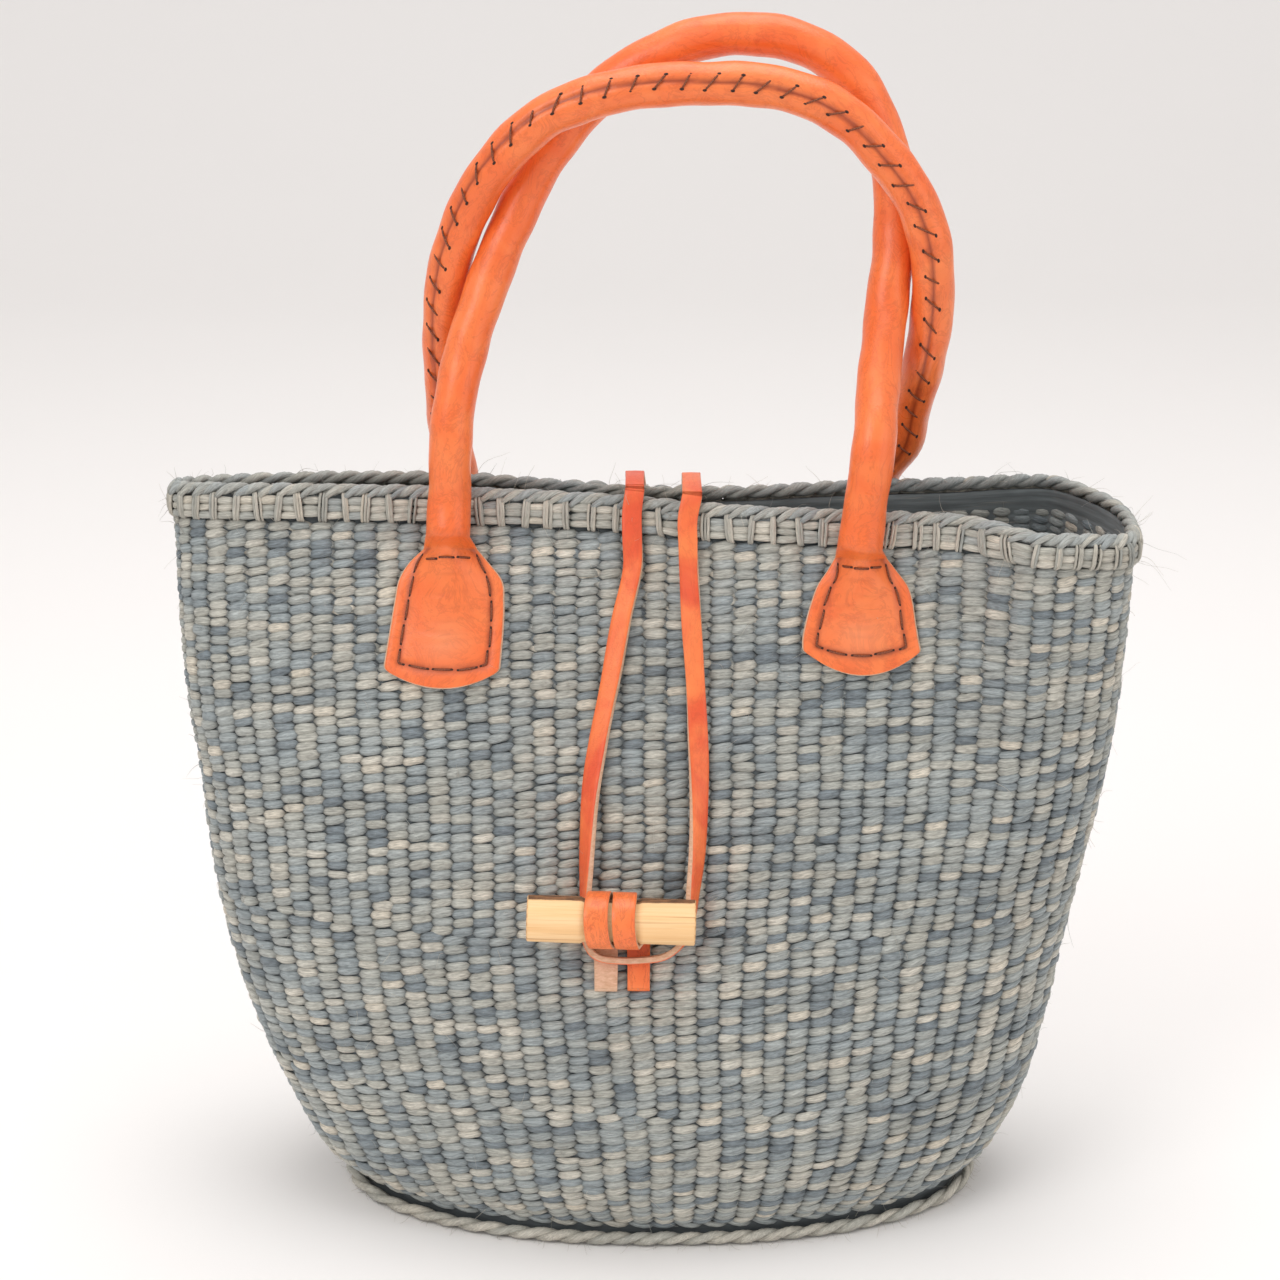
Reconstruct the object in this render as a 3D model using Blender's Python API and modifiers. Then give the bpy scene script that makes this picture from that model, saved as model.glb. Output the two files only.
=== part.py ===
"""A basket bag of twined sisal that stands on its oval base with its mouth up. A bound band and a rope edge run
round the mouth. Two handles of rolled leather end in flared tabs on the front and the back wall. A leather loop
comes over the rim from the back and catches a wooden toggle that hangs on a thong in the front wall.

X runs along the mouth, the front wall faces -Y, and Z is up. Sizes are in metres."""

from collections import namedtuple

import bmesh
import bpy
import numpy as np
from mathutils import Matrix, Vector

for old in list(bpy.data.objects):
    bpy.data.objects.remove(old, do_unlink=True)

# Sizes that drive the bag
MOUTH_HALF_WIDTH = 0.181
WALL_HEIGHT = 0.280
BELLY_HALF_DEPTH = 0.077
WALL = 0.003
GAP = 0.0004

BAND_HEIGHT = 0.008
BAND_THICKNESS = 0.002
ROPE_RADIUS = 0.0025
RIDGE_RADIUS = 0.0026

TUBE_RADIUS = 0.0079
TAB_LENGTH = 0.046
TAB_HALF_WIDTH = 0.022
TAB_THICKNESS = 0.002

TOGGLE_LENGTH = 0.062
TOGGLE_RADIUS = 0.0085
GROOVE_DEPTH = 0.0006
THONG_WIDTH = 0.0086
THONG_THICKNESS = 0.0016
LOOP_WIDTH = 0.0072
LOOP_THICKNESS = 0.0024
SLIT_ROOM = 0.0006

# Fineness of the solids
COLUMNS = 60
TUBE_SIDES = 16
TUBE_RINGS = 30
TOGGLE_SIDES = 24

# The wall's outline at ten heights and more, as shares of the three sizes above. Rise is the height. Shift is
# where the outline's middle stands. Roundness is the power of the outline's curve, 2 for an ellipse. Pinch says
# how far the outline has gone from the belly's oval to the shape of the mouth.
Section = namedtuple("Section", "rise half_width shift half_depth roundness pinch")
SECTIONS = (
    Section(0.000, 0.670, 0.025, 0.835, 2.15, 0.00),
    Section(0.023, 0.672, 0.025, 0.840, 2.15, 0.00),
    Section(0.060, 0.733, 0.019, 0.925, 2.20, 0.00),
    Section(0.157, 0.810, 0.016, 0.985, 2.25, 0.00),
    Section(0.257, 0.860, 0.004, 1.010, 2.30, 0.00),
    Section(0.379, 0.902, -0.006, 1.000, 2.40, 0.05),
    Section(0.496, 0.932, -0.006, 0.990, 2.55, 0.20),
    Section(0.614, 0.956, 0.000, 0.990, 2.70, 0.39),
    Section(0.729, 0.977, -0.002, 0.990, 2.85, 0.57),
    Section(0.857, 0.987, -0.002, 0.990, 3.05, 0.78),
    Section(1.000, 0.992, 0.000, 0.990, 3.20, 1.00),
)

# The mouth from its left end to its right: where its middle line stands, half of what it gapes, both as shares of
# BELLY_HALF_DEPTH, and how far its edge stands above WALL_HEIGHT, as a share of that
Mouth = namedtuple("Mouth", "across middle half_gap lift")
MOUTH = (
    Mouth(-1.00, 0.045, 0.130, 0.004),
    Mouth(-0.70, 0.084, 0.143, 0.004),
    Mouth(-0.40, 0.074, 0.149, 0.002),
    Mouth(-0.02, -0.064, 0.117, -0.003),
    Mouth(0.12, -0.138, 0.164, -0.003),
    Mouth(0.45, -0.117, 0.296, -0.005),
    Mouth(0.66, -0.091, 0.396, -0.009),
    Mouth(0.78, -0.143, 0.623, -0.013),
    Mouth(0.88, -0.117, 0.727, -0.018),
    Mouth(1.00, -0.260, 0.714, -0.024),
)

# Hollows pressed into the front (side -1) or the back (side 1), with the turn of each in degrees. A depth below
# zero is a swelling.
Dent = namedtuple("Dent", "side across rise reach_across reach_up turn depth")
DENTS = (
    Dent(-1, -0.52, 0.27, 0.24, 0.15, -35.0, 0.080),
    Dent(-1, -0.80, 0.42, 0.16, 0.14, -30.0, 0.045),
    Dent(-1, 0.52, 0.35, 0.24, 0.16, 20.0, 0.040),
    Dent(-1, 0.10, 0.16, 0.30, 0.14, 0.0, -0.030),
    Dent(1, 0.15, 0.50, 0.35, 0.22, 10.0, 0.060),
)

# The front handle's middle line above the rim, as shares of MOUTH_HALF_WIDTH, WALL_HEIGHT and BELLY_HALF_DEPTH.
# The back handle runs beside, above and behind it, in widths of the tube.
Arch = namedtuple("Arch", "across rise depth beside above behind")
ARCHES = (
    Arch(-0.405, 1.095, -0.221, -0.16, -0.71, 2.66),
    Arch(-0.396, 1.146, -0.182, -0.31, -0.52, 2.03),
    Arch(-0.367, 1.222, -0.104, -0.66, -0.28, 1.20),
    Arch(-0.326, 1.297, -0.026, -1.01, -0.11, 0.51),
    Arch(-0.276, 1.373, 0.052, -1.14, 0.04, -0.19),
    Arch(-0.214, 1.449, 0.117, -1.05, 0.09, -0.89),
    Arch(-0.135, 1.513, 0.156, -0.85, 0.02, -1.27),
    Arch(-0.035, 1.566, 0.169, -0.82, -0.42, -1.39),
    Arch(0.085, 1.602, 0.169, -0.97, -0.82, -1.39),
    Arch(0.182, 1.611, 0.169, -0.94, -0.93, -1.39),
    Arch(0.282, 1.604, 0.169, -0.73, -0.84, -1.39),
    Arch(0.363, 1.580, 0.169, -0.47, -0.70, -1.39),
    Arch(0.425, 1.543, 0.156, -0.25, -0.60, -1.27),
    Arch(0.464, 1.494, 0.143, -0.01, -0.42, -1.20),
    Arch(0.494, 1.429, 0.117, 0.39, -0.26, -1.08),
    Arch(0.498, 1.346, 0.052, 0.75, 0.15, -0.76),
    Arch(0.483, 1.273, -0.065, 1.06, 0.00, 0.00),
    Arch(0.467, 1.204, -0.247, 1.10, -0.28, 1.14),
    Arch(0.457, 1.160, -0.377, 1.01, -0.61, 2.41),
    Arch(0.450, 1.115, -0.510, 0.92, -0.97, 3.61),
)

# Tabs from their lower corners up to the neck, as shares of the tab's length, TAB_HALF_WIDTH and the neck's swell.
# Drift is how far a row stands aside from the neck, as a share of TAB_HALF_WIDTH.
TabRow = namedtuple("TabRow", "up half_width drift swell")
SQUARE_TAB = (
    TabRow(0.00, 1.00, -0.16, 0.00),
    TabRow(0.15, 0.99, -0.12, 0.10),
    TabRow(0.38, 0.97, -0.06, 0.26),
    TabRow(0.58, 0.94, -0.02, 0.45),
    TabRow(0.76, 0.88, 0.00, 0.62),
    TabRow(0.89, 0.69, -0.02, 0.80),
    TabRow(1.00, 0.47, 0.00, 1.00),
)
BELL_TAB = (
    TabRow(0.00, 1.00, -0.03, 0.00),
    TabRow(0.14, 0.98, 0.00, 0.12),
    TabRow(0.34, 0.92, 0.00, 0.30),
    TabRow(0.54, 0.85, -0.02, 0.50),
    TabRow(0.72, 0.75, -0.03, 0.68),
    TabRow(0.87, 0.58, -0.02, 0.84),
    TabRow(1.00, 0.44, 0.00, 1.00),
)
# Where each tab's neck stands, its rows, its length as a share of TAB_LENGTH, and how far the middle of its lower
# edge hangs below the corners
Tab = namedtuple("Tab", "side across rise rows length bow")
FRONT_TABS = (
    Tab(-1, -0.410, 0.938, SQUARE_TAB, 0.94, 0.0055),
    Tab(-1, 0.430, 0.950, BELL_TAB, 0.75, 0.0075),
)
BACK_TABS = (
    Tab(1, -0.410, 0.942, BELL_TAB, 0.80, 0.0075),
    Tab(1, 0.490, 0.944, SQUARE_TAB, 0.92, 0.0055),
)
NECK_SWELL = 0.0095

# The toggle's foot on the front wall, its slope in degrees and how far off the wall it stands, in its radii
TOGGLE_ACROSS = -0.073
TOGGLE_RISE = 0.486
TOGGLE_SLOPE = -1.6
TOGGLE_OFF = 2.30

# The thong's turns round the toggle: the angle in degrees from the toggle's back by its top, the place along the
# toggle in widths of the thong, and the layer in thicknesses of the thong
Turn = namedtuple("Turn", "angle along layer")
TURNS = (
    Turn(0, -0.28, 1.30),
    Turn(45, -0.42, 0.70),
    Turn(90, -0.54, 0.00),
    Turn(180, -0.66, 0.00),
    Turn(270, -0.33, 0.00),
    Turn(360, 0.24, 0.00),
    Turn(450, 0.55, 0.00),
    Turn(540, 0.51, 0.00),
    Turn(630, 0.75, 0.00),
    Turn(670, 0.86, 0.00),
)
# The slits of thong and loop: side, place across and rise as shares of the wall
Slit = namedtuple("Slit", "side across rise")
THONG_SLITS = (Slit(-1, -0.089, 0.394), Slit(-1, -0.022, 0.395))
LOOP_SLITS = (Slit(1, -0.030, 0.800), Slit(1, 0.075, 0.800))

# The loop's way down the front wall, round its foot and up again. Off is the distance of its middle from the
# wall, in widths of the loop. Twist is in degrees, 0 where it lies flat and 90 where it stands on edge with its
# smooth face out of the loop.
Way = namedtuple("Way", "across rise off twist")
LOOP_WAY = (
    Way(-0.030, 0.925, 0.52, 4.0),
    Way(-0.055, 0.856, 0.46, 10.0),
    Way(-0.078, 0.780, 0.42, 16.0),
    Way(-0.103, 0.705, 0.42, 24.0),
    Way(-0.119, 0.643, 0.46, 34.0),
    Way(-0.127, 0.568, 0.52, 52.0),
    Way(-0.130, 0.516, 0.58, 68.0),
    Way(-0.133, 0.482, 0.62, 80.0),
    Way(-0.130, 0.456, 0.70, 86.0),
    Way(-0.108, 0.438, 0.86, 88.0),
    Way(-0.060, 0.433, 0.88, 88.0),
    Way(-0.015, 0.434, 0.88, 88.0),
    Way(0.035, 0.440, 0.84, 88.0),
    Way(0.070, 0.458, 0.70, 84.0),
    Way(0.084, 0.484, 0.62, 78.0),
    Way(0.090, 0.517, 0.58, 68.0),
    Way(0.100, 0.574, 0.52, 54.0),
    Way(0.104, 0.663, 0.46, 32.0),
    Way(0.101, 0.730, 0.42, 22.0),
    Way(0.097, 0.789, 0.42, 14.0),
    Way(0.090, 0.870, 0.46, 7.0),
    Way(0.087, 0.925, 0.52, 2.0),
)


# Numbers from the tables


def column(rows, name):
    """One column of a table as an array."""
    return np.array([getattr(row, name) for row in rows])


def smooth(x, xs, ys):
    """Value at x of a curve through the rows xs, ys. It is a cubic between two rows, and its slope at a row is the
    mean of the slopes on the row's two sides."""
    slopes = np.diff(ys) / np.diff(xs)
    bends = np.concatenate(([slopes[0]], (slopes[1:] + slopes[:-1]) / 2, [slopes[-1]]))
    row = np.clip(np.searchsorted(xs, x) - 1, 0, len(xs) - 2)
    step = xs[row + 1] - xs[row]
    t = np.clip((x - xs[row]) / step, 0.0, 1.0)
    near = (1 + 2 * t) * (1 - t) ** 2 * ys[row] + t * (1 - t) ** 2 * step * bends[row]
    far = t * t * (3 - 2 * t) * ys[row + 1] + t * t * (t - 1) * step * bends[row + 1]
    return near + far


def of_rise(name, rise):
    """A column of SECTIONS at any rise."""
    return smooth(rise, column(SECTIONS, "rise"), column(SECTIONS, name))


def of_across(name, across):
    """A column of MOUTH at any place across."""
    return smooth(across, column(MOUTH, "across"), column(MOUTH, name))


def unit(vectors):
    """Vectors of length one."""
    return vectors / np.linalg.norm(vectors, axis=-1, keepdims=True)


# The wall


def wall(across, side, rise):
    """Points of the wall's outer face. Across goes from -1 at the left end to 1, side is -1 for the front and 1 for
    the back, and rise goes from 0 at the floor to 1 at the edge. The outline is y = (1 - across^n)^(1/n)."""
    given = (np.asarray(value, float) for value in (across, side, rise))
    across, side, rise = np.broadcast_arrays(*given)
    power = of_rise("roundness", rise)
    out = (1 - np.clip(np.abs(across), 0, 1) ** power) ** (1 / power)
    pinch = of_rise("pinch", rise)
    half_width = of_rise("half_width", rise)
    half_depth = (1 - pinch) * of_rise("half_depth", rise) + pinch * of_across("half_gap", across)
    y = pinch * of_across("middle", across) + side * half_depth * out
    for dent in DENTS:
        turn = np.radians(dent.turn)
        aside = (across * half_width - dent.across) * MOUTH_HALF_WIDTH
        up = (rise - dent.rise) * WALL_HEIGHT
        along = (aside * np.cos(turn) + up * np.sin(turn)) / (dent.reach_across * MOUTH_HALF_WIDTH)
        over = (up * np.cos(turn) - aside * np.sin(turn)) / (dent.reach_up * WALL_HEIGHT)
        faces = np.clip(dent.side * side, 0, 1) * out * np.clip(rise / 0.08, 0, 1)
        y = y - dent.side * dent.depth * faces * np.exp(-(along**2) - over**2)
    x = MOUTH_HALF_WIDTH * (half_width * across + of_rise("shift", rise))
    z = WALL_HEIGHT * (rise + pinch * of_across("lift", across))
    return np.stack([x, BELLY_HALF_DEPTH * y, z], -1)


def wall_at(x, z, side):
    """The wall's point at a given x and z, found by a few corrections of the rise."""
    x, z = np.broadcast_arrays(np.asarray(x, float), np.asarray(z, float))
    rise = z / WALL_HEIGHT
    for _ in range(8):
        middle = of_rise("shift", rise)
        across = np.clip((x / MOUTH_HALF_WIDTH - middle) / of_rise("half_width", rise), -1, 1)
        point = wall(across, side, rise)
        rise = rise + (z - point[..., 2]) / WALL_HEIGHT
    return point


def wall_normal(x, z, side):
    """Outward normal of the wall at a given x and z."""
    step = 0.002
    right = wall_at(x + step, z, side) - wall_at(x - step, z, side)
    up = wall_at(x, z + step, side) - wall_at(x, z - step, side)
    normal = unit(np.cross(right, up))
    return normal * np.sign(normal[..., 1:2]) * side


def off_wall(x, z, side, off):
    """Point at a distance from the wall's outer face, along the normal at x and z."""
    return wall_at(x, z, side) + wall_normal(x, z, side) * np.asarray(off)[..., None]


def outline_turns():
    """Across and side of COLUMNS places that part the wall's outline at two thirds of its height evenly."""
    angle = np.linspace(0, 2 * np.pi, 1441)
    points = wall(np.cos(angle), np.sign(np.sin(angle)), 0.66)
    length = np.concatenate(([0], np.cumsum(np.linalg.norm(np.diff(points, axis=0), axis=1))))
    even = np.interp(np.arange(COLUMNS) / COLUMNS * length[-1], length, angle)
    return np.cos(even), np.where(np.sin(even) >= 0, 1.0, -1.0)


def wall_ring(rise, outset=0.0, lift=0.0):
    """The wall's outline at a rise, moved level away from the wall by outset and up by lift."""
    across, side = outline_turns()
    ring = wall(across, side, rise)
    ahead = np.roll(ring, -1, 0) - np.roll(ring, 1, 0)
    level = unit(np.stack([ahead[:, 1], -ahead[:, 0], np.zeros(len(ring))], -1))
    return ring + level * outset + np.array([0, 0, lift])


# Meshes


def material(name, rgb, roughness):
    """A plain Principled material."""
    made = bpy.data.materials.new(name)
    made.use_nodes = True
    shader = made.node_tree.nodes["Principled BSDF"]
    shader.inputs["Base Color"].default_value = (*rgb, 1.0)
    shader.inputs["Roughness"].default_value = roughness
    return made


SISAL = material("sisal", (0.32, 0.36, 0.37), 0.9)
LEATHER = material("leather", (0.78, 0.19, 0.035), 0.45)
STRAP = material("strap_leather", (0.75, 0.13, 0.04), 0.5)
WOOD = material("wood", (0.80, 0.56, 0.30), 0.6)

BAG = bpy.data.collections.new("sisal_bag")
CUTTERS = bpy.data.collections.new("cutters")
for group in (BAG, CUTTERS):
    bpy.context.scene.collection.children.link(group)


def put(name, vertices, faces, made_of, group=BAG):
    """An object from vertices and faces, with its faces turned outward."""
    mesh = bpy.data.meshes.new(name)
    mesh.from_pydata([tuple(map(float, v)) for v in vertices], [], faces)
    work = bmesh.new()
    work.from_mesh(mesh)
    bmesh.ops.recalc_face_normals(work, faces=work.faces)
    work.to_mesh(mesh)
    work.free()
    if made_of:
        mesh.materials.append(made_of)
    thing = bpy.data.objects.new(name, mesh)
    group.objects.link(thing)
    return thing


def skin(rings, closed):
    """Vertices and faces of a skin over rings of equally many points. A closed skin joins its last ring to its
    first. An open one gets flat ends, each of quads between the two halves of its ring."""
    rings = np.asarray(rings)
    count, sides = rings.shape[:2]
    faces = []
    for a in range(count if closed else count - 1):
        b = (a + 1) % count
        for i in range(sides):
            j = (i + 1) % sides
            faces.append((a * sides + i, a * sides + j, b * sides + j, b * sides + i))
    if not closed:
        for start in (0, (count - 1) * sides):
            for i in range(sides // 2 - 1):
                far = sides - 1 - i
                faces.append((start + i, start + i + 1, start + far - 1, start + far))
    return rings.reshape(-1, 3), faces


def along_path(points, count):
    """Points at even steps along a smooth path through given ones."""
    points = np.asarray(points)
    length = np.concatenate(([0], np.cumsum(np.linalg.norm(np.diff(points, axis=0), axis=1))))
    even = np.linspace(0, length[-1], count)
    return np.stack([smooth(even, length, points[:, k]) for k in range(3)], -1)


# The basket


def basket_body():
    """The shell: outline rings up the wall and rings in the base, thickened inward, with four slits cut."""
    rises = np.array(
        [0, 0.023, 0.045, 0.075, 0.125, 0.18, 0.24, 0.305, 0.375, 0.45, 0.53, 0.61, 0.69, 0.77, 0.85, 0.92, 0.96, 1]
    )
    foot = wall_ring(0.0)
    middle = np.array([foot[:, 0].mean(), foot[:, 1].mean(), 0.0])
    rings = [middle + (foot - middle) * share for share in (0.3, 0.7)]
    rings += [wall_ring(rise) for rise in rises]
    vertices, faces = skin(rings, closed=False)
    faces = [face for face in faces if len(set(i // COLUMNS for i in face)) == 2]
    vertices = np.concatenate([vertices, [middle]])
    hub = len(vertices) - 1
    faces += [(hub, i, (i + 1) % COLUMNS) for i in range(COLUMNS)]
    body = put("basket_body", vertices, faces, SISAL)
    shell = body.modifiers.new("Thickness", "SOLIDIFY")
    shell.thickness = WALL
    shell.offset = -1.0
    shell.use_even_offset = True
    sizes = ((THONG_SLITS, THONG_WIDTH, THONG_THICKNESS), (LOOP_SLITS, LOOP_WIDTH, LOOP_THICKNESS))
    for slits, width, thickness in sizes:
        for slit in slits:
            cutter = slit_cutter(slit, width + 2 * SLIT_ROOM, thickness + 2 * SLIT_ROOM)
            cut = body.modifiers.new(cutter.name, "BOOLEAN")
            cut.operation = "DIFFERENCE"
            cut.solver = "EXACT"
            cut.object = cutter
    return body


def slit_cutter(slit, width, height):
    """A box through the wall where a strap goes in."""
    x, z = slit.across * MOUTH_HALF_WIDTH, slit.rise * WALL_HEIGHT
    out = Vector(wall_normal(x, z, slit.side))
    level = Vector((0, 0, 1)).cross(out).normalized()
    turned = Matrix((level, out, level.cross(out))).transposed().to_4x4()
    bpy.ops.mesh.primitive_cube_add(size=1)
    cutter = bpy.context.object
    cutter.name = f"slit_{'front' if slit.side < 0 else 'back'}_{'left' if slit.across < -0.025 else 'right'}"
    cutter.matrix_world = (
        Matrix.Translation(Vector(off_wall(x, z, slit.side, -WALL / 2)))
        @ turned
        @ Matrix.Diagonal((width, 4 * WALL, height, 1))
    )
    for group in list(cutter.users_collection):
        group.objects.unlink(cutter)
    CUTTERS.objects.link(cutter)
    cutter.display_type = "WIRE"
    cutter.hide_render = True
    return cutter


def rim_band():
    """The bound strip outside the top of the wall, a ring whose section is a flat bar with broken edges."""
    top, foot = 1 - 0.001 / WALL_HEIGHT, 1 - (0.001 + BAND_HEIGHT) / WALL_HEIGHT
    near, far = GAP, GAP + BAND_THICKNESS
    edge = 0.5 * BAND_THICKNESS
    slant = edge / WALL_HEIGHT
    profile = ((near, top), (far - edge, top), (far, top - slant), (far, foot + slant), (far - edge, foot), (near, foot))
    rings = np.stack([wall_ring(rise, outset) for outset, rise in profile], 1)
    return put("rim_band", *skin(rings, closed=True), SISAL)


def round_ring(name, rise, outset, lift, radius):
    """A ring of round section that follows the wall's outline."""
    angles = np.radians(np.arange(0, 360, 60) + 30)
    parts = [wall_ring(rise, outset + radius * np.cos(a), lift + radius * np.sin(a)) for a in angles]
    return put(name, *skin(np.stack(parts, 1), closed=True), SISAL)


# The handles


def tab_ring(x, z, side, hand, half_width, swell, reach, bow, clear):
    """One cross-section of a tab that lies on the wall: the front face from edge to edge, then the back face the
    other way. The front swells in the middle by swell * cos(...)^2 within reach of it."""
    half = TUBE_SIDES // 2
    place = np.linspace(-1, 1, half)
    dome = np.cos(np.pi / 2 * np.clip(np.abs(place) / reach, 0, 1)) ** 2
    xs = x + hand * half_width * place
    zs = z - bow * (1 - place**2)
    front = off_wall(xs, zs, side, clear + TAB_THICKNESS + swell * dome)
    back = off_wall(xs[::-1], zs[::-1], side, np.full(half, clear))
    return np.concatenate([front, back])


def tab_rings(tab, hand):
    """The rings of a tab, from its lower edge up to its neck."""
    length = tab.length * TAB_LENGTH
    rings = []
    for row in tab.rows:
        x = tab.across * MOUTH_HALF_WIDTH + hand * tab.side * -1 * row.drift * TAB_HALF_WIDTH
        z = tab.rise * WALL_HEIGHT - (1 - row.up) * length
        reach = 0.8 + 0.2 * row.up
        bow = tab.bow * (1 - row.up) ** 2
        rings.append(
            tab_ring(x, z, tab.side, hand, row.half_width * TAB_HALF_WIDTH, row.swell * NECK_SWELL, reach, bow, GAP)
        )
    return rings


def tube_ring(centre, ahead, front):
    """A round cross-section whose points go round like those of tab_ring."""
    front = unit(front - ahead * (front @ ahead))
    level = np.cross(ahead, front)
    half = TUBE_SIDES // 2
    angles = np.pi - (np.arange(TUBE_SIDES) + 0.5) * np.pi / half
    return centre + TUBE_RADIUS * (np.cos(angles)[:, None] * level + np.sin(angles)[:, None] * front)


def handle_path(tabs, back):
    """The tube's middle line: off the wall above one neck, past the band, over the arch and down again."""
    beside_band = TUBE_RADIUS + BAND_THICKNESS + 3 * GAP
    ends = []
    for tab in tabs:
        x, z = tab.across * MOUTH_HALF_WIDTH, tab.rise * WALL_HEIGHT
        low = off_wall(x, z + 0.55 * TUBE_RADIUS, tab.side, beside_band)
        edge = wall_at(x, WALL_HEIGHT, tab.side)
        high = edge + np.array([0, tab.side * beside_band, 0.4 * TUBE_RADIUS])
        ends.append([low, high])
    points = []
    for row in ARCHES:
        point = np.array(
            [row.across * MOUTH_HALF_WIDTH, row.depth * BELLY_HALF_DEPTH, row.rise * WALL_HEIGHT]
        )
        if back:
            point += 2 * TUBE_RADIUS * np.array([row.beside, row.behind, row.above])
        points.append(point)
    return np.array(ends[0] + points + ends[1][::-1])


def handle(name, tabs, back):
    """One handle in one piece: a tab, the tube and the other tab."""
    side = 1.0 if back else -1.0
    line = along_path(handle_path(tabs, back), TUBE_RINGS)
    ahead = unit(np.gradient(line, axis=0))
    fronts = np.array([0.0, side, 0.0])
    tube = [tube_ring(point, way, fronts) for point, way in zip(line, ahead)]
    first, last = tab_rings(tabs[0], -side), tab_rings(tabs[1], side)
    first_blend = 0.3 * first[-1] + 0.7 * tube[0]
    last_blend = 0.3 * last[-1] + 0.7 * tube[-1]
    rings = first + [first_blend] + tube + [last_blend] + last[::-1]
    return put(name, *skin(rings, closed=False), LEATHER)


# The closure


def toggle_frame():
    """The toggle's centre and its three directions: along it, off the wall, and up the wall."""
    x, z = TOGGLE_ACROSS * MOUTH_HALF_WIDTH, TOGGLE_RISE * WALL_HEIGHT
    out = wall_normal(x, z, -1)
    slope = np.radians(TOGGLE_SLOPE)
    along = np.array([np.cos(slope), 0, np.sin(slope)])
    out = unit(out - along * (out @ along))
    return off_wall(x, z, -1, TOGGLE_OFF * TOGGLE_RADIUS), along, out, np.cross(out, along)


def toggle():
    """A stick turned from its profile, with a shallow groove where the thong lies and broken edges at its ends."""
    end, edge, groove = TOGGLE_LENGTH / 2, 0.06 * TOGGLE_RADIUS, 1.28 * THONG_WIDTH
    deep = TOGGLE_RADIUS - GROOVE_DEPTH
    half = ((0.0, end), (TOGGLE_RADIUS - edge, end), (TOGGLE_RADIUS, end - edge), (TOGGLE_RADIUS, groove), (deep, groove - edge))
    profile = list(half) + [(radius, -place) for radius, place in reversed(half)]
    mesh = bpy.data.meshes.new("toggle")
    mesh.from_pydata([(radius, 0, place) for radius, place in profile], [(i, i + 1) for i in range(len(profile) - 1)], [])
    mesh.materials.append(WOOD)
    stick = bpy.data.objects.new("toggle", mesh)
    BAG.objects.link(stick)
    turned = stick.modifiers.new("Turned", "SCREW")
    turned.axis = "Z"
    turned.steps = turned.render_steps = TOGGLE_SIDES
    turned.use_merge_vertices = True
    turned.merge_threshold = 0.00001
    turned.use_normal_calculate = True
    centre, along, out, up = toggle_frame()
    stick.matrix_world = Matrix.Translation(Vector(centre)) @ Matrix(
        (Vector(up), Vector(out), Vector(along))
    ).transposed().to_4x4()
    return stick


def tuck(slit, thickness):
    """Where a strap goes down the wall, in through its slit and down a little inside: points and the directions
    its face looks."""
    x, z = slit.across * MOUTH_HALF_WIDTH, slit.rise * WALL_HEIGHT
    out = wall_normal(x, z, slit.side)
    down = unit(np.cross(out, np.cross(out, np.array([0, 0, 1.0]))))
    foot = off_wall(x, z, slit.side, -WALL / 2)
    bend = 2 * GAP + thickness / 2
    stations = []
    for low, turns in ((-1, (0, 0, 0, 30, 60, 90)), (1, (90, 60, 30, 0, 0, 0))):
        straight = [0, 0, 0, 0, 0, 0]
        straight[:2] = (4.2 * thickness, 1.6 * thickness)
        if low > 0:
            straight = straight[::-1]
        for turn, more in zip(np.radians(turns), straight):
            off = -low * (WALL / 2 + bend * np.cos(turn))
            drop = low * (bend * (1 - np.sin(turn)) + more)
            stations.append((foot + out * off + down * drop, np.cos(turn) * out + np.sin(turn) * down))
    return stations


def strap(name, stations, width, thickness, made_of):
    """A flat strap along stations of a point and the direction its face looks. Rings stand closer where it bends
    or twists."""
    points = np.array([point for point, _ in stations])
    looks = np.array([look for _, look in stations])
    length = np.concatenate(([0], np.cumsum(np.linalg.norm(np.diff(points, axis=0), axis=1))))
    fine = np.linspace(0, length[-1], 1200)
    line = np.stack([smooth(fine, length, points[:, k]) for k in range(3)], -1)
    look = np.stack([smooth(fine, length, looks[:, k]) for k in range(3)], -1)
    ahead = unit(np.gradient(line, axis=0))
    look = unit(look - ahead * (look * ahead).sum(1)[:, None])
    wide = np.cross(ahead, look)
    bent = np.arccos(np.clip((ahead[1:] * ahead[:-1]).sum(1), -1, 1))
    twisted = np.arccos(np.clip((look[1:] * look[:-1]).sum(1), -1, 1))
    cost = np.diff(fine) / 0.020 + bent / np.radians(20) + twisted / np.radians(30)
    spent = np.concatenate(([0], np.cumsum(cost)))
    chosen = np.interp(np.linspace(0, spent[-1], int(spent[-1]) + 2), spent, np.arange(len(spent))).round().astype(int)
    half_wide, half_thick = wide[chosen] * width / 2, look[chosen] * thickness / 2
    at = line[chosen]
    rings = np.stack([at - half_wide + half_thick, at + half_wide + half_thick, at + half_wide - half_thick, at - half_wide - half_thick], 1)
    return put(name, *skin(rings, closed=False), made_of)


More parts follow.
